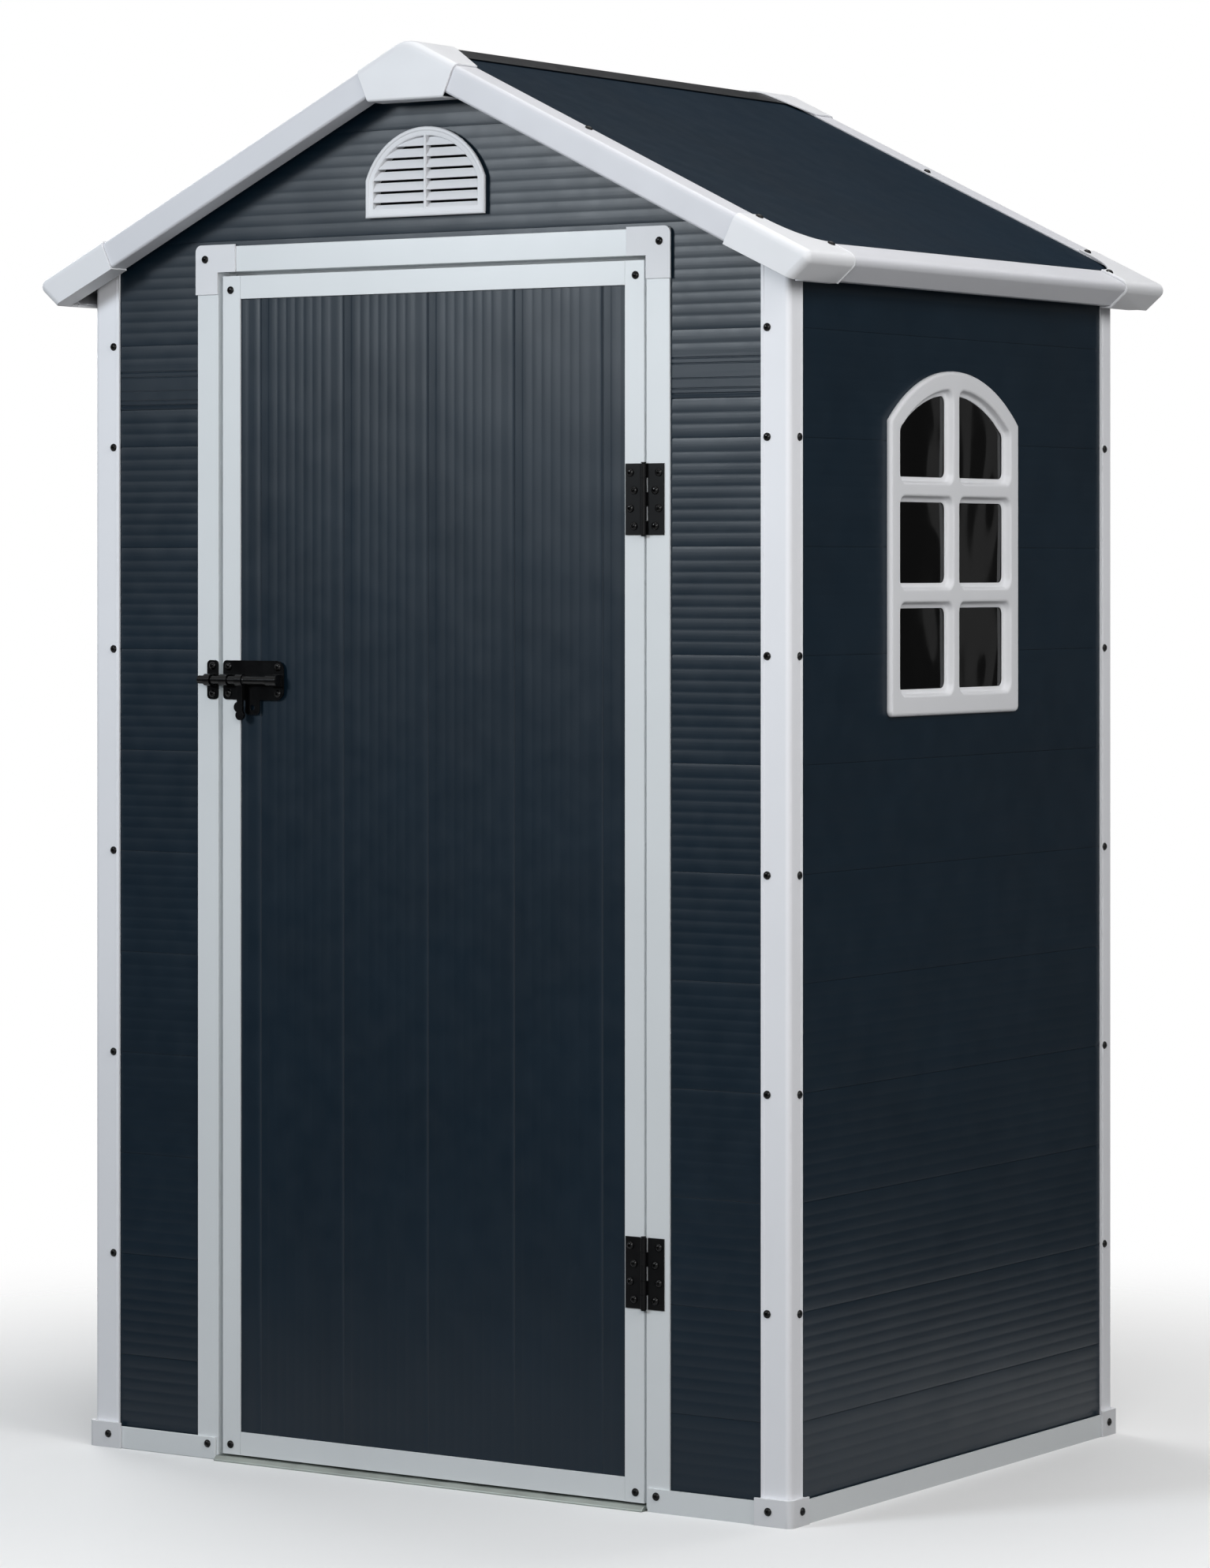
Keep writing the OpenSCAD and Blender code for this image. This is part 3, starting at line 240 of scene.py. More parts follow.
def white_profile():
    """Extruded rigid PVC: a smooth satin white with slow waves from the sizing die and faint handling marks."""
    return surface(
        "extruded_white_pvc",
        colours().white_profile,
        0.015,
        (0.29, 0.34),
        [(80.0, (1, 1, 1), 0.18), (2.2, (1, 1, 1), 0.015)],
        IOR=1.53,
        Specular_IOR_Level=0.4,
    )


def white_trim_painted_shade():
    """The roof edges' white PVC, darkened as painted shade: a cooler satin white with the die's fine lines, on the
    roof's edges.
    """
    return extruded_trim("extruded_white_pvc_trim_painted_shade", colours().white_trim_painted_shade)


def white_post_painted_light():
    """Extruded rigid PVC on the corner posts, lightened as painted light: the brightest white of the three."""
    return extruded_trim("extruded_white_pvc_post_painted_light", colours().white_post_painted_light)


def extruded_trim(name, tint):
    return surface(
        name,
        tint,
        0.015,
        (0.38, 0.44),
        [(90.0, (1, 1, 1), 0.15), (2.2, (1, 1, 1), 0.012)],
        IOR=1.53,
        Specular_IOR_Level=0.3,
    )


def white_moulding():
    """Injection-moulded polypropylene: soft gloss over a fine spark-eroded grain, drawn at 2 mm so that it shows."""
    return surface(
        "moulded_white_polypropylene",
        colours().white_moulding,
        0.015,
        (0.36, 0.42),
        [(70.0, (1, 1, 1), 0.15), (2.0, (1, 1, 1), 0.02)],
        IOR=1.49,
        Specular_IOR_Level=0.3,
    )


def black_coat():
    """Powder coat on pressed steel: a deep satin black with orange peel, about 1 mm, drawn at 1.8 mm."""
    return surface(
        "powder_coated_black_steel",
        colours().black_coat,
        0.18,
        (0.34, 0.5),
        [(1.8, (1, 1, 1), 0.06)],
        IOR=1.5,
        Specular_IOR_Level=0.12,
    )


def black_enamel():
    """Dipped enamel on the bolt's steel: nearly black, smooth and glossy, with thin bright edges."""
    return surface(
        "dipped_black_enamel",
        colours().black_enamel,
        0.2,
        (0.2, 0.28),
        [(6.0, (1, 1, 1), 0.05)],
        IOR=1.5,
        Specular_IOR_Level=0.25,
    )


def ridge_pvc():
    """Extruded flexible PVC over the ridge: darker and glossier than the boards, so that it reads as its own strip."""
    return surface(
        "extruded_flexible_black_pvc",
        colours().ridge_strip,
        0.15,
        (0.3, 0.4),
        [(4.0, (1.0, 0.02, 1.0), 0.05)],
        IOR=1.52,
        Specular_IOR_Level=0.15,
    )


def black_screw():
    """Black lacquer on a pressed screw: a dark head with a small bright glint and a dull cross."""
    return surface(
        "black_lacquered_screw",
        colours().black_screw,
        0.2,
        (0.1, 0.16),
        [(1.2, (1, 1, 1), 0.02)],
        IOR=1.6,
        Specular_IOR_Level=0.16,
    )


def zinc():
    """Hot-dip galvanised steel: a grey metal with spangles about 9 mm across and a dull bloom."""
    return surface(
        "galvanised_steel_sheet",
        colours().zinc,
        0.14,
        (0.36, 0.58),
        [(9.0, (1, 1, 1), 0.05)],
        Metallic=1.0,
    )


def pane_acrylic():
    """Thin extruded acrylic sheet: clear, glossy and never quite flat, so reflections run in waves; its dark tint is
    painted shade for the dark inside of the shed.
    """
    return surface(
        "extruded_clear_acrylic_painted_shade",
        colours().pane_tint_painted_shade,
        0.03,
        (0.02, 0.06),
        [(60.0, (1, 1, 0.5), 0.5)],
        IOR=1.49,
        Transmission_Weight=1.0,
    )


# ---------------------------------------------------------------- drawing helpers, in millimetres


def shifted(path, by):
    """A path moved to the left of its direction."""
    points = [Vector(p) for p in path]
    moved = []
    for i, point in enumerate(points):
        steps = [points[j + 1] - points[j] for j in (i - 1, i) if 0 <= j < len(points) - 1]
        sides = [Vector((-s.y, s.x)).normalized() for s in steps]
        before, after = sides[0], sides[-1]
        moved.append(point + by * (before + after) / (1 + before.dot(after)))
    return moved


def rounded(path, radii, steps=6):
    """A closed outline with its corners rounded."""
    points = [Vector(p) for p in path]
    outline = []
    for i, point in enumerate(points):
        before, after = points[i - 1] - point, points[(i + 1) % len(points)] - point
        reach = 0.49 * min(before.length, after.length)
        bend = before.angle(after)
        if radii[i] <= 0 or bend > math.pi - 0.01:
            outline.append(point)
            continue
        cut = min(radii[i] / math.tan(bend / 2), reach)
        radius = cut * math.tan(bend / 2)
        middle = point + (before.normalized() + after.normalized()).normalized() * (cut / math.cos(bend / 2))
        start, end = point + before.normalized() * cut - middle, point + after.normalized() * cut - middle
        sweep = start.angle_signed(end)
        turn = [Matrix.Rotation(-sweep * k / steps, 2) for k in range(steps + 1)]
        outline += [middle + t @ start.normalized() * radius for t in turn]
    return outline


def strip(path, thickness, radii, end_radius=0.7):
    """The outline of a bent sheet: a path and the same path moved by its thickness, corners rounded."""
    inner = shifted(path, thickness)
    outer_r = [end_radius, *radii, end_radius]
    inner_r = [end_radius, *[max(r - abs(thickness), 0.4) for r in radii], end_radius]
    return rounded([*[Vector(p) for p in path], *reversed(inner)], [*outer_r, *reversed(inner_r)])


def drawn_out(bm, outline, place, start, stop):
    """Draws an outline out into a closed bar; place turns (across, up, along) into a point."""
    rings = [[bm.verts.new(place(p[0], p[1], t)) for p in outline] for t in (start, stop)]
    count = len(outline)
    for i in range(count):
        j = (i + 1) % count
        bm.faces.new((rings[0][i], rings[0][j], rings[1][j], rings[1][i]))
    bm.faces.new(list(reversed(rings[0])))
    bm.faces.new(rings[1])


def along_x(across, up, along):
    return Vector((along, across, up))


def along_y(across, up, along):
    return Vector((across, along, up))


def slope_point(u, w):
    """x and z of a point u down the right slope and w above the roof panel."""
    return Vector((u * COS_P + w * SIN_P, RIDGE_H - u * SIN_P + w * COS_P))


def on_slope(across, up, along):
    """A bar along the right slope: across runs along Y, up stands off the panel."""
    point = slope_point(along, up)
    return Vector((point.x, across, point.y))


def mirrored(bm, sx, sy):
    """Turns what was drawn for the right side and the front into another corner's."""
    if sx < 0:
        bmesh.ops.scale(bm, vec=(-1, 1, 1), verts=bm.verts)
    if sy > 0:
        bmesh.ops.scale(bm, vec=(1, -1, 1), verts=bm.verts)
    if (sx < 0) != (sy > 0):
        bmesh.ops.reverse_faces(bm, faces=bm.faces)


def bevel_edges(bm, edges, radius, segments=3):
    bmesh.ops.bevel(
        bm, geom=edges, offset=radius, segments=segments, profile=0.5, affect="EDGES", clamp_overlap=True
    )


def sharp_edges(bm, degrees=35):
    return [e for e in bm.edges if e.is_manifold and e.calc_face_angle() > math.radians(degrees)]


def place_piece(name, bm, material, nodes, body="shed", sharp=45, closed=True, thickness=0.0):
    """Writes a drawing in millimetres as a piece that stands for CAD nodes and rides on their body."""
    if closed:
        bmesh.ops.recalc_face_normals(bm, faces=bm.faces)
    bmesh.ops.scale(bm, vec=(MM, MM, MM), verts=bm.verts)
    mesh = bpy.data.meshes.new(name)
    bm.to_mesh(mesh)
    bm.free()
    piece = bpy.data.objects.new(name, mesh)
    bpy.context.scene.collection.objects.link(piece)
    mesh.materials.append(material)
    if thickness:
        shell = piece.modifiers.new("wall", "SOLIDIFY")
        shell.thickness, shell.offset, shell.use_even_offset = thickness * MM, -1, True
        rim = piece.modifiers.new("rim", "BEVEL")
        rim.width, rim.segments, rim.limit_method, rim.angle_limit = 0.5 * MM, 2, "ANGLE", math.radians(60)
        settle(piece)
    finish_shading(piece, sharp)
    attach(piece, body)
    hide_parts(*nodes)
    return piece


def settle(piece):
    """Writes a piece's modifiers into its mesh."""
    graph = bpy.context.evaluated_depsgraph_get()
    mesh = bpy.data.meshes.new_from_object(piece.evaluated_get(graph))
    old, name = piece.data, piece.data.name
    piece.modifiers.clear()
    piece.data = mesh
    bpy.data.meshes.remove(old)
    mesh.name = name


def finish_shading(piece, sharp):
    piece.data.shade_smooth()
    piece.data.set_sharp_from_angle(angle=math.radians(sharp))
    weights = piece.modifiers.new("flat faces stay flat", "WEIGHTED_NORMAL")
    weights.keep_sharp = True


def softened(node, name, radius, material, body="shed", segments=2):
    """A CAD solid with its edges rounded, as a piece that stands for it."""
    bm = bmesh.new()
    bm.from_mesh(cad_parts[node].data)
    bmesh.ops.scale(bm, vec=(1 / MM, 1 / MM, 1 / MM), verts=bm.verts)
    bmesh.ops.remove_doubles(bm, verts=bm.verts, dist=0.002)
    bmesh.ops.dissolve_limit(bm, angle_limit=math.radians(0.5), verts=bm.verts, edges=bm.edges)
    bevel_edges(bm, sharp_edges(bm), radius, segments)
    bmesh.ops.remove_doubles(bm, verts=bm.verts, dist=SLIVER)
    bmesh.ops.dissolve_degenerate(bm, edges=bm.edges, dist=SLIVER)
    return place_piece(name, bm, material, [node], body, sharp=50)


def boolean(piece, cutter):
    """Cuts one drawing out of a piece's mesh."""
    cut = piece.modifiers.new("cut", "BOOLEAN")
    cut.operation, cut.object, cut.solver = "DIFFERENCE", cutter, "EXACT"
    bpy.context.view_layer.update()
    settle(piece)
    mesh = cutter.data
    bpy.data.objects.remove(cutter)
    bpy.data.meshes.remove(mesh)


def cutter_from(bm):
    """A drawing in millimetres as a loose object that only cuts."""
    bmesh.ops.recalc_face_normals(bm, faces=bm.faces)
    bmesh.ops.scale(bm, vec=(MM, MM, MM), verts=bm.verts)
    mesh = bpy.data.meshes.new("cutter")
    bm.to_mesh(mesh)
    bm.free()
    cutter = bpy.data.objects.new("cutter", mesh)
    bpy.context.scene.collection.objects.link(cutter)
    return cutter


# ---------------------------------------------------------------- boards

# Share of a rib's width and the share of its depth there, for a parabola
RIB_STEPS = (0.0, 0.1, 0.25, 0.42, 0.58, 0.75, 0.9)
# The gable panel laps over the boards below it: heights, widths and depths of the grooves in its hem
LAP_GROOVES = ((1560.0, 3.2, 1.1), (1552.5, 2.8, 0.9), (1532.5, 2.6, 0.7), (1518.5, 3.0, 0.9), (1511.5, 3.4, 1.3))
LAP_TOP = 1564.0


def rib_profile(low, high, row_low, valleys, sizes):
    """Depth below the face along a board, as (place, depth) from low to high; row_low is where the pattern starts."""
    depth, half = sizes.rib_depth / MM, sizes.joint_width / MM / 2
    marks = [row_low + half, *[row_low + v for v in valleys], row_low + PLANK_PITCH - half]
    points = []
    for start, stop in zip(marks, marks[1:]):
        for share in RIB_STEPS:
            at = start + share * (stop - start)
            points.append((at, depth * (2 * share - 1) ** 2))
    points.append((marks[-1], depth))
    inside = [p for p in points if low + half < p[0] < high - half]
    groove = sizes.joint_depth / MM
    ends = [(0.0, groove + 0.9), (0.3, groove + 0.85), (0.32, groove), (half, depth)]
    return [(low + at, d) for at, d in ends] + inside + [(high - at, d) for at, d in reversed(ends)]


def wall_valleys(sizes):
    pitch = sizes.rib_pitch / MM
    first = (PLANK_PITCH - 7 * pitch) / 2
    return [first + k * pitch for k in range(8)]


def door_profile(low, high, row_low, sizes):
    """The door's boards stand on edge: a flat band, eight valleys and a rounded lip before the next joint."""
    pitch, depth, groove = sizes.rib_pitch / MM, sizes.rib_depth / MM, sizes.lip_depth / MM
    points = [(0.0, groove), (0.9, 0.75), (2.4, 0.62)]
    marks = [13.8 + k * pitch for k in range(8)]
    points += [(marks[0] - 2, 0.55)]
    for start, stop in zip(marks, marks[1:]):
        points += [(start + s * (stop - start), depth * (2 * s - 1) ** 2) for s in RIB_STEPS]
    lip = PLANK_PITCH - 8.5
    points += [(marks[-1], depth), (marks[-1] + 3, 0.3), (lip - 4, 0.0), (lip, 0.0)]
    points += [(lip + 8 * math.sin(a), groove * (1 - math.cos(a))) for a in (0.35, 0.7, 1.0, 1.25, 1.45)]
    points += [(PLANK_PITCH - 0.1, groove + 0.2)]
    here = [(row_low + at, d) for at, d in points if low + 0.5 < row_low + at < high - 0.5]
    return [(low, here[0][1] + 0.3), *here, (high, here[-1][1] + 0.3)]


def board(bm, profile, back, place, start, stop):
    """One closed board: its face follows the profile, its back is flat."""
    outline = [(d, at) for at, d in profile]
    outline += [(back, profile[-1][0]), (back, profile[0][0])]
    drawn_out(bm, outline, place, start, stop)


def row_z(k):
    return PLANK_Z0 if k == 0 else FIRST_JOINT + (k - 1) * PLANK_PITCH


def lap_profile(low, high, row_low, sizes):
    """The hem of the gable panel, and ordinary ribs above it."""
    above = [p for p in rib_profile(low, high, row_low, wall_valleys(sizes), sizes) if p[0] > LAP_TOP + 2]
    hem = [(low, sizes.lip_depth / MM), (low + 1.6, 0.3), (low + 4.0, 0.15)]
    for at, width, depth in sorted(LAP_GROOVES):
        hem += [(at - width / 2, 0.1), (at - width * 0.1, depth), (at + width * 0.1, depth), (at + width / 2, 0.1)]
    return [*hem, (LAP_TOP, 0.1), *above]


def level_boards(bm, z0, z1, place, start, stop, sizes):
    """Rows of level boards between two heights."""
    k = 0
    while row_z(k) < min(z1, RIDGE_H):
        low, high = max(row_z(k), z0), min(row_z(k + 1), z1)
        row_low = FIRST_JOINT + (k - 1) * PLANK_PITCH
        if high - low > 10:
            high -= 0.02
            if low == GABLE_JOINT:
                profile = lap_profile(low, high, row_low, sizes)
            else:
                profile = rib_profile(low, high, row_low, wall_valleys(sizes), sizes)
            board(bm, profile, PLANK_T, place, start, stop)
        k += 1


def under_roof(bm):
    """Cuts off what stands above the underside of the roof panels and closes the cuts."""
    top = RIDGE_H - (ROOF_T + SEAT_GAP) / COS_P
    for side in SIDES.values():
        cut = bmesh.ops.bisect_plane(
            bm,
            geom=[*bm.verts, *bm.edges, *bm.faces],
            dist=0.0001,
            plane_co=(0, 0, top),
            plane_no=(side * SIN_P, 0, COS_P),
            clear_outer=True,
        )
        edges = [e for e in cut["geom_cut"] if isinstance(e, bmesh.types.BMEdge)]
        bmesh.ops.holes_fill(bm, edges=edges, sides=0)


def block(bm, low, high):
    """A closed block between two corners, for cutting."""
    outline = [(low[1], low[2]), (high[1], low[2]), (high[1], high[2]), (low[1], high[2])]
    drawn_out(bm, outline, along_x, low[0], high[0])


def arch(width, side_h, rise, inset, corner=0.0, steps=24):
    """Upright sides under a flat arch, standing on 0 and centred; every inset has the same number of points."""
    radius = (width * width / 4 + rise * rise) / (2 * rise)
    middle = side_h + rise - radius
    half, bow = width / 2 - inset, radius - inset
    spring = math.acos(min(1, half / bow))
    bends = [spring + (math.pi - 2 * spring) * k / steps for k in range(steps + 1)]
    points = [(-half, inset), (half, inset), *[(bow * math.cos(a), middle + bow * math.sin(a)) for a in bends]]
    radii = [max(corner - inset, 0.5)] * 2 + [0] * (steps + 1)
    return rounded(points, radii, steps=5) if corner else [Vector(p) for p in points]


def window_outline(inset):
    return arch(WINDOW_W, WINDOW_SIDE_H, WINDOW_RISE, inset, corner=9.0)


def vent_outline(inset):
    return arch(VENT_W, VENT_SIDE_H, VENT_RISE, inset)


def at_window(across, up, out):
    """A point on the right wall: across towards the back, up from the window's foot, out from the wall's face."""
    return Vector((FACE_X + out, WINDOW_Y + across, WINDOW_Z + up))


def at_vent(across, up, out):
    """A point on the front gable: across to the right, up from the vent's foot, out from the wall's face."""
    return Vector((across, -FACE_Y - out, VENT_Z + up))


def build_walls(sizes):
    def front(depth, at, along):
        return Vector((along, -FACE_Y + depth, at))

    def back(depth, at, along):
        return Vector((along, FACE_Y - depth, at))

    def right(depth, at, along):
        return Vector((FACE_X - depth, along, at))

    def left(depth, at, along):
        return Vector((-FACE_X + depth, along, at))

    walls = {
        "front_left": (front, -PANEL_X, -DOOR_CUT_X, PLANK_Z0, GABLE_JOINT),
        "front_right": (front, DOOR_CUT_X, PANEL_X, PLANK_Z0, GABLE_JOINT),
        "front_gable": (front, -PANEL_X, PANEL_X, GABLE_JOINT, RIDGE_H),
        "left": (left, -PANEL_Y, PANEL_Y, PLANK_Z0, RIDGE_H),
        "right": (right, -PANEL_Y, PANEL_Y, PLANK_Z0, RIDGE_H),
        "back": (back, -PANEL_X, PANEL_X, PLANK_Z0, RIDGE_H),
    }
    for name, (place, start, stop, z0, z1) in walls.items():
        bm = bmesh.new()
        level_boards(bm, z0, z1, place, start, stop, sizes)
        under_roof(bm)
        holes = bmesh.new()
        if name == "front_gable":
            block(holes, (-DOOR_CUT_X, -HALF_D - 5, 1400), (DOOR_CUT_X, -HALF_D + 30, DOOR_CUT_Z))
        if name in ("front_gable", "back"):
            turn = -1 if name == "back" else 1
            drawn_out(
                holes, vent_outline(VENT_LAP), lambda a, u, o: at_vent(a, u, o) * Vector((1, turn, 1)), -PLANK_T - 5, 5
            )
        if name == "right":
            drawn_out(holes, window_outline(WINDOW_LAP), at_window, -PLANK_T - 5, 5)
        piece = place_piece(
            "boards_" + name, bm, slate("level"), ["planks_" + name], sharp=11
        )
        if holes.verts:
            piece.modifiers.clear()
            boolean(piece, cutter_from(holes))
            finish_shading(piece, 11)
        else:
            holes.free()


def build_door_boards(sizes):
    x0, x1 = DOOR_X0 + 4.3, DOOR_X1 - 4.3
    z0, z1 = DOOR_Z0 + 4.3, DOOR_Z1 - 4.3
    bm = bmesh.new()
    steps = math.ceil(x1 / PLANK_PITCH)
    for k in range(-steps, steps):
        row_low = k * PLANK_PITCH
        low, high = max(row_low, x0), min(row_low + PLANK_PITCH, x1)
        if high - low > 10:
            profile = door_profile(low, high - SEAT_GAP, row_low, sizes)
            board(bm, profile, PLANK_T, lambda d, at, z: Vector((at, -FACE_Y + d, z)), z0, z1)
    place_piece("boards_door", bm, slate("upright"), ["door_planks"], "door", sharp=11)


# ---------------------------------------------------------------- roof trims


def rake_path(off):
    return [
        (-ROOF_HALF_D + TRIM_FLANGE, TRIM_T + off),
        (-ROOF_HALF_D - off, TRIM_T + off),
        (-ROOF_HALF_D - off, TRIM_T - RAKE_H - off),
        (-ROOF_HALF_D + RAKE_LIP, TRIM_T - RAKE_H - off),
    ]


def eave_path():
    nose = Vector((ROOF_HALF_W, RIDGE_H - TAN_P * ROOF_HALF_W + TRIM_T / COS_P))
    heel = nose - FASCIA_W * Vector((math.cos(FASCIA_ANGLE), math.sin(FASCIA_ANGLE)))
    return [nose + TRIM_FLANGE * Vector((-COS_P, SIN_P)), nose, heel, heel - Vector((EAVE_LIP, 0))]


def build_trims(sizes):
    bend = sizes.trim_round / MM
    section = strip(rake_path(0), TRIM_T, (bend, bend / 2))
    for end, sy in ENDS.items():
        for side, sx in SIDES.items():
            bm = bmesh.new()
            drawn_out(bm, section, on_slope, RAKE_U0, RAKE_U1)
            mirrored(bm, sx, sy)
            name = f"{end}_{side}"
            place_piece("rake_trim_" + name, bm, white_trim_painted_shade(), ["rake_" + name], sharp=30)
    reach = ROOF_HALF_D - TRIM_FLANGE - SEAT_GAP
    section = strip(eave_path(), -TRIM_T, (sizes.nose_round / MM, bend / 2))
    for side, sx in SIDES.items():
        bm = bmesh.new()
        drawn_out(bm, section, along_y, -reach, reach)
        mirrored(bm, sx, -1)
        place_piece("eave_trim_" + side, bm, white_trim_painted_shade(), ["eave_" + side], sharp=30)


def draw_more(piece, draw):
    """Opens a piece's mesh again and draws further closed shapes into it, in millimetres."""
    more = bmesh.new()
    draw(more)
    bmesh.ops.recalc_face_normals(more, faces=more.faces)
    bmesh.ops.scale(more, vec=(MM, MM, MM), verts=more.verts)
    part = bpy.data.meshes.new("more")
    more.to_mesh(part)
    more.free()
    whole = bmesh.new()
    whole.from_mesh(piece.data)
    whole.from_mesh(part)
    whole.to_mesh(piece.data)
    whole.free()
    bpy.data.meshes.remove(part)
    piece.data.shade_smooth()
    piece.data.set_sharp_from_angle(angle=math.radians(45))


def rim_bead(bm, nose, heel, seam_y, sx, sy):
    """A half-round bead along the cap's rim, over the top, the nose and the fascia."""
    start = nose + 46 * Vector((-COS_P, SIN_P))
    outline = rounded([start, nose, heel, start + Vector((0, -60))], [0, 13, 0, 0], steps=8)[:-1]
    rings = []
    for i, point in enumerate(outline):
        ahead = (outline[min(i + 1, len(outline) - 1)] - outline[max(i - 1, 0)]).normalized()
        out = Vector((-ahead.y, ahead.x))
        ring = []
        for k in range(8):
            a = 2 * math.pi * k / 8
            spot = point + out * (0.2 + 1.1 * math.sin(a))
            ring.append(bm.verts.new((sx * spot.x, -sy * (seam_y - 2.2 + 1.9 * math.cos(a)), spot.y)))
        rings.append(ring)
    for one, two in zip(rings, rings[1:]):
        bridge(bm, one, two)
    bm.faces.new(rings[0])
    bm.faces.new(rings[-1])


def build_corner_caps(sizes):
    """One skin over the ends of a rake and an eave, rounded all along its front and given a moulding's thickness."""
    w_top, w_low = TRIM_T + CAP_OFF, TRIM_T - RAKE_H - CAP_OFF
    u_nose = ROOF_HALF_W / COS_P
    u_seam, inner_u = u_nose - CORNER_RAKE, u_nose - TRIM_FLANGE
    front, seam_y = -ROOF_HALF_D - CAP_OFF, -ROOF_HALF_D + CORNER_EAVE
    inner_y, lip_y = -ROOF_HALF_D + TRIM_FLANGE, -ROOF_HALF_D + RAKE_LIP
    web_r = min(inner_u - u_seam, seam_y - inner_y)
    nose, heel, lip = shifted(eave_path(), CAP_OFF)[1:]
    foot = slope_point(u_seam, w_low)
    outline = rounded([slope_point(u_seam, w_top), nose, heel], (0, CAP_NOSE, 0), 8)
    big = min(sizes.cap_round / MM, RAKE_LIP + CAP_OFF - 1)

    def inset(by):
        """The outline drawn in, with its end still on the underside."""
        points = shifted(outline, -by)
        step, low = points[-1] - points[-2], foot - heel
        points[-1] = points[-2] + step * ((heel - points[-2]).cross(low) / step.cross(low))
        return points

    turns = [math.pi / 2 * k / 6 for k in range(7)]
    rings = [(inset(big * (1 - math.sin(a))), front + big * (1 - math.cos(a))) for a in turns]
    for end, sy in ENDS.items():
        for side, sx in SIDES.items():
            bm = bmesh.new()

            def at(point, y):
                return bm.verts.new((point.x, y, point.y))

            skin = [[at(point, y) for point in points] for points, y in rings]
            last, back = skin[-1], [at(point, seam_y) for point in outline[1:]]
            web = [
                at(slope_point(inner_u - web_r + web_r * math.cos(a), w_top), inner_y + web_r - web_r * math.sin(a))
                for a in [math.pi / 2 * k / 12 for k in range(13)]
            ]
            flange_end = at(slope_point(u_seam, w_top), inner_y)
            seam_low, seam_lip = at(foot, front), at(foot, lip_y)
            heel_mid, lip_mid, lip_back = at(heel, lip_y), at(lip, lip_y), at(lip, seam_y)
            top = bm.faces.new((last[0], last[1], back[0], *web, flange_end))
            bm.faces.new((seam_low, *skin[0]))
            for one, two in zip(skin, skin[1:]):
                for k in range(len(one) - 1):
                    bm.faces.new((one[k], one[k + 1], two[k + 1], two[k]))
            for k in range(1, len(last) - 2):
                bm.faces.new((last[k], last[k + 1], back[k], back[k - 1]))
            bm.faces.new((last[-2], last[-1], heel_mid, back[-1], back[-2]))
            bm.faces.new((seam_low, *[row[-1] for row in skin], heel_mid, seam_lip))
            bm.faces.new((heel_mid, lip_mid, lip_back, back[-1]))
            bmesh.ops.recalc_face_normals(bm, faces=bm.faces)
            if top.normal.z < 0:
                bmesh.ops.reverse_faces(bm, faces=bm.faces)
            mirrored(bm, sx, sy)
            name = f"{end}_{side}"
            piece = place_piece(
                "corner_moulding_" + name,
                bm,
                white_moulding(),
                ["corner_cap_" + name],
                closed=False,
                thickness=CAP_T,
            )
            draw_more(piece, lambda more: rim_bead(more, nose, heel, seam_y, sx, sy))


def peak_path(w, reach, steps=8):
    """A rounded peak over both slopes, from left to right."""
    middle = RIDGE_H + (w - PEAK_R) / COS_P
    end = Vector((reach, RIDGE_H + w / COS_P - reach * TAN_P))
    bends = [PITCH * k / steps for k in range(-steps, steps + 1)]
    arc = [Vector((PEAK_R * math.sin(a), middle + PEAK_R * math.cos(a))) for a in bends]
    return [Vector((-end.x, end.y)), *arc, end]


def build_ridge_caps(sizes):
    w_top, w_low = TRIM_T + CAP_OFF, TRIM_T - RAKE_H - CAP_OFF
    u = (RIDGE_CAP_REACH - w_top * SIN_P) / COS_P
    low = slope_point(u, w_low) - Vector((0, RIDGE_CAP_DROP))
    front, back, lip_y = -ROOF_HALF_D - CAP_OFF, -ROOF_HALF_D + TRIM_FLANGE, -ROOF_HALF_D + RAKE_LIP
    big = sizes.cap_round / MM
    for end, sy in ENDS.items():
        bm = bmesh.new()
        path = peak_path(w_top, RIDGE_CAP_REACH)
        fore = [bm.verts.new((p.x, front, p.y)) for p in path]
        aft = [
            bm.verts.new((p.x, back + RIDGE_CAP_POINT * (1 - abs(p.x) / RIDGE_CAP_REACH), p.y)) for p in path
        ]
        foot = [bm.verts.new((s * low.x, y, low.y)) for y in (front, lip_y) for s in (1, -1)]
        for i in range(len(path) - 1):
            bm.faces.new((fore[i], fore[i + 1], aft[i + 1], aft[i]))
        bm.faces.new((*fore, foot[0], foot[1]))
        bm.faces.new((foot[0], foot[2], foot[3], foot[1]))
        bmesh.ops.recalc_face_normals(bm, faces=bm.faces)
        if bm.faces[:][len(path) // 2].normal.z < 0:
            bmesh.ops.reverse_faces(bm, faces=bm.faces)
        fore_set = set(fore)
        bevel_edges(bm, [e for e in bm.edges if e.is_manifold and set(e.verts) <= fore_set], big, 6)
        bevel_edges(bm, sharp_edges(bm, 60), big / 3, 3)
        mirrored(bm, 1, sy)
        place_piece(
            "ridge_moulding_" + end,
            bm,
            white_moulding(),
            ["ridge_cap_" + end],
            closed=False,
            thickness=CAP_T,
        )


# ---------------------------------------------------------------- window and vents


def bridge(bm, one, two):
    """Joins two rings of the same number of points with a band of faces."""
    count = len(one)
    for i in range(count):
        j = (i + 1) % count
        bm.faces.new((one[i], one[j], two[j], two[i]))


def ring_edges(bm, ring):
    return [bm.edges.get((ring[i], ring[(i + 1) % len(ring)])) or bm.edges.new((ring[i], ring[(i + 1) % len(ring)])) for i in range(len(ring))]


def fill_between(bm, rings, normal):
    """Fills the flat face that an outer ring and the rings inside it bound."""
    edges = [e for ring in rings for e in ring_edges(bm, ring)]
    bmesh.ops.triangle_fill(bm, use_beauty=True, edges=edges, normal=normal)


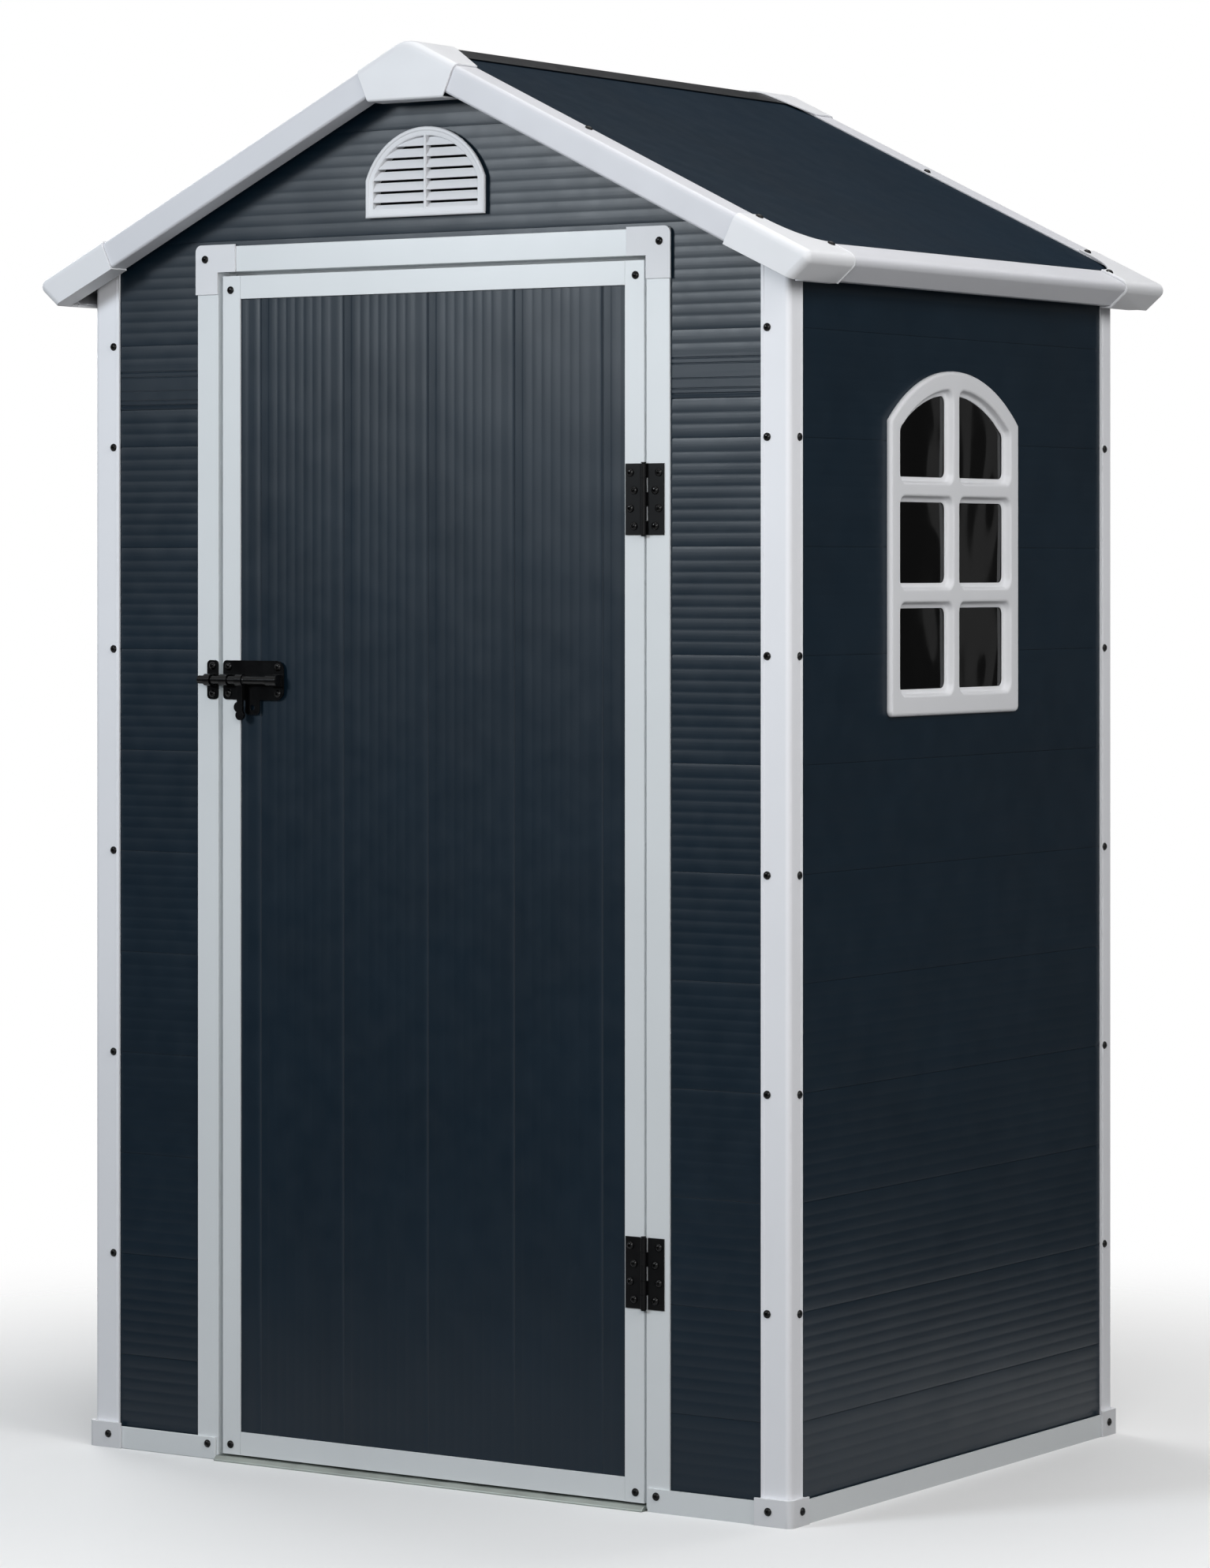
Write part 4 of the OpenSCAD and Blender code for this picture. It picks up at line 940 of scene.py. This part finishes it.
def light_outline(side, row, grow):
    """One of the six lights, centred like the window; grow widens it on every edge."""
    near, far = MUNTIN_W / 2 - grow, MUNTIN_W / 2 + PANE_W + grow
    foot = WINDOW_SILL + row * (PANE_H + TRANSOM_H) - grow
    soft = 10 + grow / 2
    if row < 2:
        top = foot + PANE_H + 2 * grow
        points = [(near, foot), (far, foot), (far, top), (near, top)]
        outline = rounded(points, [soft] * 4, steps=6)
    else:
        radius = (WINDOW_W * WINDOW_W / 4 + WINDOW_RISE * WINDOW_RISE) / (2 * WINDOW_RISE)
        middle = WINDOW_SIDE_H + WINDOW_RISE - radius
        bow = radius - WINDOW_BORDER + grow
        start, stop = math.acos(far / bow), math.acos(near / bow)
        shares = (0, 0.22, 0.34, 0.46, 0.58, 0.7, 0.8, 1)
        bends = [start + (stop - start) * s for s in shares]
        crown = [(bow * math.cos(a), middle + bow * math.sin(a)) for a in bends]
        points = [(near, foot), (far, foot), *crown]
        radii = [soft, soft, soft, *[0] * (len(crown) - 2), soft]
        outline = rounded(points, radii, steps=6)
    return [Vector((side * p.x, p.y)) for p in outline][:: 1 if side > 0 else -1]


def build_window():
    bm = bmesh.new()

    def ring(outline, out):
        return [bm.verts.new(at_window(p.x, p.y, out)) for p in outline]

    # The outer edge rolls over from the wall to the face
    edge = [(0.6, 0.0), (0.0, 0.8), (0.0, 3.2), (0.5, 5.0), (1.7, 6.7), (3.4, 7.7), (5.6, WINDOW_T)]
    outer = [ring(window_outline(inset), out) for inset, out in edge]
    for one, two in zip(outer, outer[1:]):
        bridge(bm, one, two)
    # Each light falls back from the face to the pane in a soft slope
    fall = [(11.5, WINDOW_T), (10.0, 7.7), (8.8, 6.9), (8.0, 5.8), (6.6, 1.8), (5.6, -0.2), (4.2, -1.2), (1.2, -1.7), (0.3, -2.1), (0.0, -WINDOW_NECK)]
    face_rings, neck_rings = [outer[-1]], []
    for side in (-1, 1):
        for row in range(3):
            rings = [ring(light_outline(side, row, grow), out) for grow, out in fall]
            for one, two in zip(rings, rings[1:]):
                bridge(bm, one, two)
            face_rings.append(rings[0])
            neck_rings.append(rings[-1])
    fill_between(bm, face_rings, (1, 0, 0))
    neck = [ring(window_outline(WINDOW_LAP + SEAT_GAP), out) for out in (0.0, -WINDOW_NECK)]
    bridge(bm, outer[0], neck[0])
    bridge(bm, neck[0], neck[1])
    fill_between(bm, [neck[1], *neck_rings], (-1, 0, 0))
    place_piece("window_moulding", bm, white_moulding(), ["window_frame"], sharp=40)


def build_pane(sizes):
    """The pane's sheet, gently out of flat, with a closed rim."""
    wave = sizes.pane_wave / MM
    inset = WINDOW_LAP + SEAT_GAP
    radius = (WINDOW_W * WINDOW_W / 4 + WINDOW_RISE * WINDOW_RISE) / (2 * WINDOW_RISE) - inset
    middle = WINDOW_SIDE_H + WINDOW_RISE - radius - inset
    half = WINDOW_W / 2 - inset
    top = middle + radius - 1.5
    rows, columns = 64, 40
    bm = bmesh.new()
    sheets = []
    for out in (-WINDOW_NECK - SEAT_GAP, -WINDOW_NECK - SEAT_GAP - PANE_T):
        sheet = []
        for r in range(rows + 1):
            up = inset + (top - inset) * r / rows
            reach = half
            if up > middle:
                reach = min(half, math.sqrt(max(radius**2 - (up - middle) ** 2, 1)))
            line = []
            for c in range(columns + 1):
                across = reach * (2 * c / columns - 1)
                bulge = math.sin(up / 31 + 1.7 * math.sin(across / 47 + 0.6)) + 0.8 * math.sin(
                    across / 17 + 1.1 * math.sin(up / 83)
                )
                line.append(bm.verts.new(at_window(across, up, out + wave * (bulge / 1.8 - 1) / 2)))
            sheet.append(line)
        sheets.append(sheet)
    for sheet in sheets:
        for r in range(rows):
            for c in range(columns):
                bm.faces.new((sheet[r][c], sheet[r][c + 1], sheet[r + 1][c + 1], sheet[r + 1][c]))
    rims = []
    for sheet in sheets:
        rim = sheet[0][:] + [line[-1] for line in sheet[1:]]
        rim += sheet[-1][-2::-1] + [line[0] for line in sheet[-2:0:-1]]
        rims.append(rim)
    bridge(bm, rims[0], rims[1])
    place_piece("pane_sheet", bm, pane_acrylic(), ["window_pane"], sharp=40)


def arch_half_width(up, inset):
    """Half the vent's clear width at a height."""
    radius = (VENT_W * VENT_W / 4 + VENT_RISE * VENT_RISE) / (2 * VENT_RISE)
    middle = VENT_SIDE_H + VENT_RISE - radius
    bow = radius - inset
    rise = max(up - middle, 0)
    return min(VENT_W / 2 - inset, math.sqrt(max(bow * bow - rise * rise, 0)))


def build_vents():
    """A stepped rim on a neck, louvres that shed rain and a bar down the middle."""
    for end, sy in ENDS.items():
        bm = bmesh.new()

        def ring(inset, out):
            return [bm.verts.new(at_vent(p.x, p.y, out)) for p in vent_outline(inset)]

        section = [(3.4, 0.0), (3.4, 4.4), (0.5, 5.0), (0.0, 5.7), (0.0, 6.8), (0.4, 7.8), (1.3, 8.7), (2.4, VENT_T)]
        section += [(4.6, VENT_T), (5.4, 8.6), (5.9, 7.9), (6.6, 7.6), (VENT_RIM - 1.4, 7.6), (VENT_RIM - 0.4, 7.1)]
        section += [(VENT_RIM, 6.2), (VENT_RIM, -VENT_NECK), (VENT_LAP + 0.6, -VENT_NECK), (VENT_LAP + 0.6, 0.0)]
        rings = [ring(inset, out) for inset, out in section]
        for one, two in zip(rings, [*rings[1:], rings[0]]):
            bridge(bm, one, two)
        long_half, lean = 7.0, Vector((math.cos(SLAT_TILT), -math.sin(SLAT_TILT)))
        for i in range(SLAT_COUNT):
            up = SLAT_FIRST + i * SLAT_PITCH
            thick = Vector((-lean.y, lean.x)) * SLAT_T / 2
            corners = [lean * long_half + thick, -lean * long_half + thick, -lean * long_half - thick, lean * long_half - thick]
            outline = rounded([Vector((3.0, up)) + c for c in corners], [1.1] * 4, steps=3)
            reach = arch_half_width(up - long_half, VENT_RIM) + 1.5
            if reach > 20:
                drawn_out(bm, outline, lambda out, z, x: at_vent(x, z, out), -reach, reach)
        half = VENT_BAR / 2
        bar = rounded([(-half, -4), (half, -4), (half, 8.2), (-half, 8.2)], [0.5, 0.5, 1.8, 1.8])
        drawn_out(bm, bar, lambda x, out, z: at_vent(x, z, out), VENT_RIM - 3, VENT_SIDE_H + VENT_RISE - VENT_RIM + 3)
        mirrored(bm, 1, sy)
        place_piece("vent_moulding_" + end, bm, white_moulding(), ["vent_" + end], sharp=40)


# ---------------------------------------------------------------- screws


def screw_places(node):
    """The crown and the outward axis of every screw in a CAD node."""
    bm = bmesh.new()
    bm.from_mesh(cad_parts[node].data)
    bmesh.ops.remove_doubles(bm, verts=bm.verts, dist=2e-6)
    axes = [Vector(a) for a in ((0, -1, 0), (0, 1, 0), (1, 0, 0), (-1, 0, 0))]
    axes += [Vector((s * SIN_P, 0, COS_P)) for s in (-1, 1)]
    seen, places = set(), []
    for start in bm.verts:
        if start in seen:
            continue
        island, heap = [], [start]
        seen.add(start)
        while heap:
            vert = heap.pop()
            island.append(vert.co / MM)
            for edge in vert.link_edges:
                other = edge.other_vert(vert)
                if other not in seen:
                    seen.add(other)
                    heap.append(other)
        best = None
        for axis in axes:
            top = max(p.dot(axis) for p in island)
            head = [p for p in island if p.dot(axis) > top - SCREW_H - 0.2]
            middle = sum(head, Vector()) / len(head)
            off = [(p - middle) - axis * (p - middle).dot(axis) for p in island]
            odd = abs(max(o.length for o in off) - SCREW_R) + abs(
                max(o.length for p, o in zip(island, off) if p.dot(axis) < top - SCREW_H - 0.4) - SHANK_R
                if any(p.dot(axis) < top - SCREW_H - 0.4 for p in island)
                else 9
            )
            if best is None or odd < best[0]:
                best = (odd, middle + axis * (top - middle.dot(axis)), axis)
        places.append(best[1:])
    bm.free()
    return places


def screw_head(bm, crown, axis, turn):
    """A pan head with a rolled edge and a cross recess, on a plain shank."""
    side = axis.orthogonal().normalized()
    side = Matrix.Rotation(turn, 3, axis) @ side
    other = axis.cross(side)
    count = 24
    rings = [(SHANK_R, -9.0), (SHANK_R, -SCREW_H), (SCREW_R - 0.3, -SCREW_H), (SCREW_R, -SCREW_H + 0.35)]
    rings += [(SCREW_R, -SCREW_H + 0.8), (5.15, -1.75), (4.3, -0.95), (3.2, -0.35), (2.55, -0.12)]
    made = []
    for radius, up in rings:
        made.append(
            [
                bm.verts.new(crown + axis * up + (side * math.cos(a) + other * math.sin(a)) * radius)
                for a in [2 * math.pi * k / count for k in range(count)]
            ]
        )
    for one, two in zip(made, made[1:]):
        bridge(bm, one, two)
    bm.faces.new(list(reversed(made[0])))
    # The recess: four arms that fall away from the crown to a point
    pit = []
    for k in range(count):
        arm = k % 6 in (0, 1, 5)
        radius, up = (2.3, -1.0) if arm else (0.95, -0.06)
        a = 2 * math.pi * k / count
        pit.append(bm.verts.new(crown + axis * up + (side * math.cos(a) + other * math.sin(a)) * radius))
    bridge(bm, made[-1], pit)
    floor = bm.verts.new(crown - axis * 2.0)
    for k in range(count):
        bm.faces.new((pit[k], pit[(k + 1) % count], floor))


def build_screws():
    for node, body in (("frame_screws", "shed"), ("door_screws", "door")):
        bm = bmesh.new()
        for k, (crown, axis) in enumerate(screw_places(node)):
            screw_head(bm, crown, axis, 0.7 * k)
        place_piece(node + "_heads", bm, black_screw(), [node], body, sharp=35)


# ---------------------------------------------------------------- softened CAD solids


def soften_all(rows, radius, material, body="shed", segments=2):
    """Rounds the edges of CAD solids; rows are (node, piece name)."""
    for node, name in rows:
        softened(node, name, radius, material, body, segments)


def post_beads(post):
    """A fine bead beside the free edge of each of a post's two flanges."""
    spots = [v.co / MM for v in post.data.vertices]
    sx, sy = (math.copysign(1, sum(spot[axis] for spot in spots)) for axis in (0, 1))
    tops = [
        max(spot.z for spot in spots if abs(spot.x) > HALF_W - 1.5),
        max(spot.z for spot in spots if abs(spot.y) > HALF_D - 1.5),
    ]
    circle = [(0.8 * math.cos(k * math.pi / 4), 0.8 * math.sin(k * math.pi / 4)) for k in range(8)]
    side = (HALF_W - 0.35, HALF_D - POST_SIDE_W + 4.5)
    front = (HALF_W - POST_FRONT_W + 4.5, HALF_D - 0.35)

    def draw(bm):
        for (x, y), top in zip((side, front), tops):
            drawn_out(bm, circle, lambda a, b, t: Vector((sx * x + a, sy * y + b, t)), 6, top - 5)

    draw_more(post, draw)


def corner_bar(bm, corner, inward, radius, place, start, stop):
    """Draws a bar that cuts an outline's square corner round."""
    (x, y), (ix, iy) = corner, inward
    angles = [math.radians(9 * k) for k in range(11)]
    outline = [
        (x + ix * radius * (1 - math.cos(a)), y + iy * radius * (1 - math.sin(a))) for a in angles
    ]
    outline += [(x + ix * radius, y - 2 * iy), (x - 2 * ix, y - 2 * iy), (x - 2 * ix, y + iy * radius)]
    drawn_out(bm, [Vector(p) for p in outline], place, start, stop)


def foot_corner(foot):
    """Rounds a foot's upright outer edge like the post above it."""
    spots = [v.co / MM for v in foot.data.vertices]
    corner = [max((spot[axis] for spot in spots), key=abs) for axis in (0, 1)]
    bm = bmesh.new()
    inward = [-math.copysign(1, reach) for reach in corner]
    corner_bar(bm, corner, inward, FOOT_ROUND, lambda x, y, up: Vector((x, y, up)), -10, 60)
    boolean(foot, cutter_from(bm))
    finish_shading(foot, 50)


def plate_corners(plate):
    """Rounds the bolt plate's two corners towards the hinges."""
    spots = [v.co / MM for v in plate.data.vertices]
    right, top = max(spot.x for spot in spots), max(spot.z for spot in spots)
    bm = bmesh.new()
    for edge, inward in ((top, (-1, -1)), (top - BOLT_PLATE_H, (-1, 1))):
        corner_bar(bm, (right, edge), inward, PLATE_ROUND, lambda x, up, y: Vector((x, y, up)), -HALF_D - 20, -HALF_D + 20)
    boolean(plate, cutter_from(bm))
    finish_shading(plate, 50)


def handle_lobe(handle):
    """A second round lobe above the handle's grip."""
    spots = [v.co / MM for v in handle.data.vertices]
    low = min(spot.z for spot in spots)
    grip = [spot for spot in spots if spot.z < low + 8]
    x, y = ((min(spot[axis] for spot in grip) + max(spot[axis] for spot in grip)) / 2 for axis in (0, 1))

    def draw(bm):
        rings = []
        for radius, out in ((6.6, -2.3), (7.4, -1.9), (7.8, -1.1), (7.8, 1.1), (7.4, 1.9), (6.6, 2.3)):
            turns = [2 * math.pi * k / 32 for k in range(32)]
            spots = [(x - 3 + radius * math.cos(a), y + out, low + 18.5 + radius * math.sin(a)) for a in turns]
            rings.append([bm.verts.new(spot) for spot in spots])
        for one, two in zip(rings, rings[1:]):
            bridge(bm, one, two)
        bm.faces.new(rings[0])
        bm.faces.new(rings[-1])

    draw_more(handle, draw)


def corners(prefix, piece):
    return [(f"{prefix}_{e}_{s}", f"{piece}_{e}_{s}") for e in ENDS for s in SIDES]


# ---------------------------------------------------------------- stage

PHOTO_W, PHOTO_H = 1534, 1988
CAMERA_AT, CAMERA_AZIMUTH = (4.1825, -6.3039, 1.2771), math.radians(33.586)
FOCAL_PIXELS, HORIZON_ROW = 6541.1, 719.9
SENSOR = 36.0


def bearing(azimuth, elevation):
    """The direction from the shed towards a place, in degrees; azimuth 0 is in front of the door."""
    a, e = math.radians(azimuth), math.radians(elevation)
    return Vector((math.sin(a) * math.cos(e), -math.cos(a) * math.cos(e), math.sin(e)))


def area_light(name, size, azimuth, elevation, distance, power, aim=(0, 0, 1.1), spread=180, tint="#FFFFFF"):
    """A soft lamp on a sphere round the shed, turned towards it."""
    lamp = bpy.data.lights.new(name, "AREA")
    lamp.shape, lamp.size, lamp.size_y, lamp.energy, lamp.color = "RECTANGLE", size[0], size[1], power, linear(tint)
    lamp.spread = math.radians(spread)
    holder = bpy.data.objects.new(name, lamp)
    bpy.context.scene.collection.objects.link(holder)
    towards = bearing(azimuth, elevation)
    holder.location = Vector(aim) + towards * distance
    holder.rotation_mode = "QUATERNION"
    holder.rotation_quaternion = towards.to_track_quat("Z", "Y")
    return holder


def build_camera():
    lens = bpy.data.cameras.new("photo_camera")
    lens.sensor_width = SENSOR
    lens.lens = FOCAL_PIXELS * SENSOR / PHOTO_H
    lens.shift_y = (HORIZON_ROW - PHOTO_H / 2) / PHOTO_H
    camera = bpy.data.objects.new("photo_camera", lens)
    bpy.context.scene.collection.objects.link(camera)
    camera.location = CAMERA_AT
    camera.rotation_euler = (math.pi / 2, 0, CAMERA_AZIMUTH)
    bpy.context.scene.camera = camera


def seen_rays(tree):
    """1 for rays that show a surface in the picture: straight, mirrored or through the pane."""
    rays = add_node(tree, "ShaderNodeLightPath")
    seen = rays.outputs["Is Camera Ray"]
    for kind in ("Is Glossy Ray", "Is Transmission Ray"):
        seen = add_node(tree, "ShaderNodeMath", {0: seen, 1: rays.outputs[kind]}, operation="MAXIMUM").outputs[0]
    return seen


def build_floor():
    """A pale matt floor that fades into the studio's background round the shed."""
    material = bpy.data.materials.new("matt_studio_floor")
    material.use_nodes = True
    tree = material.node_tree
    tree.nodes.remove(tree.nodes["Principled BSDF"])
    place = add_node(tree, "ShaderNodeTexCoord").outputs["Object"]
    grain = add_node(tree, "ShaderNodeTexNoise", {"Vector": place, "Scale": per_metre(900), "Detail": 3})
    ramp = add_node(tree, "ShaderNodeValToRGB", {"Fac": grain.outputs["Fac"]})
    for stop, gain in zip(ramp.color_ramp.elements, (0.985, 1.0)):
        stop.color = (*[c * gain for c in colours().floor], 1)
    # The floor looks pale to what sees it and throws back little light
    dull = add_node(tree, "ShaderNodeBsdfDiffuse", {"Color": (*linear("#707070"), 1)})
    pale = add_node(tree, "ShaderNodeBsdfDiffuse", {"Color": ramp.outputs["Color"]})
    paint = add_node(tree, "ShaderNodeMixShader", {0: seen_rays(tree), 1: dull.outputs[0], 2: pale.outputs[0]})
    span = add_node(tree, "ShaderNodeVectorMath", {0: place}, operation="LENGTH")
    edge = add_node(
        tree,
        "ShaderNodeMapRange",
        {"Value": span.outputs["Value"], "From Min": 0.85, "From Max": 2.3},
        interpolation_type="SMOOTHSTEP",
    )
    clear = add_node(tree, "ShaderNodeBsdfTransparent")
    mix = add_node(tree, "ShaderNodeMixShader", {0: edge.outputs["Result"], 1: paint.outputs[0], 2: clear.outputs[0]})
    tree.links.new(mix.outputs[0], tree.nodes["Material Output"].inputs["Surface"])
    bm = bmesh.new()
    bm.faces.new([bm.verts.new(2.5 * bearing(360 * k / 96, 0)) for k in range(96)])
    bmesh.ops.recalc_face_normals(bm, faces=bm.faces)
    mesh = bpy.data.meshes.new("floor")
    bm.to_mesh(mesh)
    bm.free()
    floor = bpy.data.objects.new("floor", mesh)
    mesh.materials.append(material)
    bpy.context.scene.collection.objects.link(floor)


# Parts of the background as (azimuth, elevation, inner and outer half angle in degrees, brightness): the shed's front,
# right wall and right slope mirror a dim studio, and behind the shed the studio is white
PALE, AMBIENT = 0.72, 0.07
BACKGROUND = ((-36, 2, 10, 40, 0.03), (146, 0, 10, 38, 0.05), (202, 30, 22, 42, 0.11), (213.6, -2.5, 12, 17, 1.0))


def build_background():
    """The studio round the shed: pale to look at, with little light of its own."""
    world = bpy.data.worlds.new("dim_studio")
    bpy.context.scene.world = world
    world.use_nodes = True
    tree = world.node_tree
    way = add_node(tree, "ShaderNodeTexCoord").outputs["Generated"]
    level = PALE
    for azimuth, elevation, inner, outer, brightness in BACKGROUND:
        turn = add_node(tree, "ShaderNodeVectorMath", {0: way, 1: bearing(azimuth, elevation)}, operation="DOT_PRODUCT")
        bounds = [math.cos(math.radians(angle)) for angle in (outer, inner)]
        share = add_node(
            tree,
            "ShaderNodeMapRange",
            {"Value": turn.outputs["Value"], "From Min": bounds[0], "From Max": bounds[1]},
            interpolation_type="SMOOTHSTEP",
        )
        mix = add_node(tree, "ShaderNodeMix", {"Factor": share.outputs["Result"], "A": level, "B": brightness})
        level = mix.outputs["Result"]
    shown = add_node(tree, "ShaderNodeMix", {"Factor": seen_rays(tree), "A": AMBIENT, "B": level})
    background = tree.nodes["Background"]
    background.inputs["Color"].default_value = (1, 1, 1, 1)
    tree.links.new(shown.outputs["Result"], background.inputs["Strength"])


def build_lights():
    area_light("key_softbox", (1.2, 1.15), -27, 13.5, 4.4, 36, aim=(0, -0.45, 1.6), spread=110, tint="#EDF5FC")
    area_light("front_fill", (1.8, 1.6), 34, 16, 3.7, 25.5, aim=(0.4, -0.4, 1.0), spread=130)
    area_light("right_fill", (2.8, 2.4), 76, 28, 4.8, 46, spread=130)
    area_light("top_softbox", (4.0, 4.0), 20, 86, 4.4, 80, aim=(0.1, -0.1, 1.2))
    area_light("left_fill", (2.6, 2.2), 242, 20, 5.0, 92)
    area_light("back_fill", (2.6, 2.2), 172, 62, 4.6, 56)
    area_light("pane_strip", (0.09, 1.0), 150.2, 0, 2.5, 0.004, aim=(0.59, 0.075, 1.32), spread=60)


# ---------------------------------------------------------------- operators and panel


class SHED_OT_stage(bpy.types.Operator):
    """Sets up the camera, the pale floor, the background and the soft lamps"""

    bl_idname = "shed.stage"
    bl_label = "Stage"

    def execute(self, context):
        context.scene.view_settings.view_transform = "Standard"
        build_camera()
        build_floor()
        build_background()
        build_lights()
        return {"FINISHED"}


class SHED_OT_walls(bpy.types.Operator):
    """Builds the level ribbed boards of all four walls"""

    bl_idname = "shed.walls"
    bl_label = "Wall boards"

    def execute(self, context):
        build_walls(context.scene.shed_sizes)
        return {"FINISHED"}


class SHED_OT_door(bpy.types.Operator):
    """Builds the door leaf: upright boards, stiles and rails"""

    bl_idname = "shed.door"
    bl_label = "Door leaf"

    def execute(self, context):
        sizes = context.scene.shed_sizes
        build_door_boards(sizes)
        rows = [
            ("door_stile_bolt_side", "stile_profile_bolt_side"),
            ("door_stile_hinge_side", "stile_profile_hinge_side"),
            ("door_rail_top", "rail_profile_top"),
            ("door_rail_bottom", "rail_profile_bottom"),
        ]
        soften_all(rows, sizes.edge_round / MM, white_profile(), "door")
        return {"FINISHED"}


class SHED_OT_frame(bpy.types.Operator):
    """Builds the posts, base rails, feet, threshold and door frame"""

    bl_idname = "shed.frame"
    bl_label = "Frame"

    def execute(self, context):
        soft = context.scene.shed_sizes.edge_round / MM
        rails = [("base_rail_" + n, "base_profile_" + n) for n in ("front_left", "front_right", "left", "right", "back")]
        coat = white_post_painted_light()
        for node, name in corners("post", "post_profile"):
            post_beads(softened(node, name, soft, coat, "shed", 2))
        soften_all(rails, soft, white_profile())
        rows = [("door_jamb_left", "jamb_profile_left"), ("door_jamb_right", "jamb_profile_right"), ("door_head", "head_profile")]
        soften_all(rows, soft, white_profile())
        plastic = white_moulding()
        for node, name in corners("foot", "foot_moulding"):
            foot_corner(softened(node, name, soft, plastic, segments=3))
        soften_all([("head_caps", "head_mouldings")], soft * 0.8, white_moulding(), segments=3)
        soften_all([("door_threshold", "threshold_sheet")], 0.6, zinc())
        return {"FINISHED"}


class SHED_OT_roof(bpy.types.Operator):
    """Builds the roof panels, the ridge strip and the inside beams"""

    bl_idname = "shed.roof"
    bl_label = "Roof"

    def execute(self, context):
        rows = [("roof_panel_left", "roof_sheet_left"), ("roof_panel_right", "roof_sheet_right")]
        soften_all(rows, 0.8, slate("down_slope"))
        soften_all([("ridge_strip", "ridge_profile")], 0.6, ridge_pvc())
        soften_all([("wall_plates", "plate_profiles")], 0.8, white_profile())
        soften_all([("ridge_beam", "ridge_beam_tube")], 0.8, zinc())
        return {"FINISHED"}


class SHED_OT_trims(bpy.types.Operator):
    """Builds the rakes, eaves, corner caps and ridge caps"""

    bl_idname = "shed.trims"
    bl_label = "Roof trims"

    def execute(self, context):
        sizes = context.scene.shed_sizes
        build_trims(sizes)
        build_corner_caps(sizes)
        build_ridge_caps(sizes)
        return {"FINISHED"}


class SHED_OT_window(bpy.types.Operator):
    """Builds the window moulding, its pane and the retainer behind it"""

    bl_idname = "shed.window"
    bl_label = "Window"

    def execute(self, context):
        build_window()
        build_pane(context.scene.shed_sizes)
        soften_all([("window_retainer", "retainer_moulding")], 0.8, white_moulding())
        return {"FINISHED"}


class SHED_OT_vents(bpy.types.Operator):
    """Builds the gable vents"""

    bl_idname = "shed.vents"
    bl_label = "Vents"

    def execute(self, context):
        build_vents()
        return {"FINISHED"}


class SHED_OT_hardware(bpy.types.Operator):
    """Builds the hinges, the bolt and the screws"""

    bl_idname = "shed.hardware"
    bl_label = "Hardware"

    def execute(self, context):
        soft = context.scene.shed_sizes.steel_round / MM
        rows = [("hinge_leaves_jamb", "hinge_steel_jamb"), ("hinge_pins", "hinge_steel_pins")]
        soften_all(rows, soft, black_coat())
        soften_all([("hinge_leaves_door", "hinge_steel_door")], soft, black_coat(), "door")
        enamel = black_enamel()
        soften_all([("bolt_keeper", "keeper_steel")], soft, enamel)
        plate_corners(softened("bolt_plate", "bolt_steel_plate", soft, enamel, "door"))
        soften_all([("bolt_rod", "bolt_steel_rod")], soft, enamel, "bolt")
        handle_lobe(softened("bolt_handle", "bolt_steel_handle", soft, enamel, "bolt_handle"))
        build_screws()
        return {"FINISHED"}


class SHED_PT_panel(bpy.types.Panel):
    """Lists the shed's pieces in the order that they are built"""

    bl_idname = "SHED_PT_panel"
    bl_label = "Plastic garden shed"
    bl_space_type = "VIEW_3D"
    bl_region_type = "UI"
    bl_category = "Shed"

    def draw(self, context):
        for step in STEPS:
            self.layout.operator(step.bl_idname)
        for group in (context.scene.shed_sizes, context.scene.shed_colours):
            box = self.layout.box()
            for key in group.__annotations__:
                box.prop(group, key)


STEPS = (
    SHED_OT_stage,
    SHED_OT_walls,
    SHED_OT_door,
    SHED_OT_frame,
    SHED_OT_roof,
    SHED_OT_trims,
    SHED_OT_window,
    SHED_OT_vents,
    SHED_OT_hardware,
)
CLASSES = (ShedSizes, ShedColours, *STEPS, SHED_PT_panel)


def register():
    for cls in CLASSES:
        bpy.utils.register_class(cls)
    bpy.types.Scene.shed_sizes = bpy.props.PointerProperty(type=ShedSizes)
    bpy.types.Scene.shed_colours = bpy.props.PointerProperty(type=ShedColours)


def unregister():
    del bpy.types.Scene.shed_sizes
    del bpy.types.Scene.shed_colours
    for cls in reversed(CLASSES):
        bpy.utils.unregister_class(cls)


def main():
    register()
    for step in STEPS:
        group, name = step.bl_idname.split(".")
        getattr(getattr(bpy.ops, group), name)()


if __name__ == "__main__":
    main()
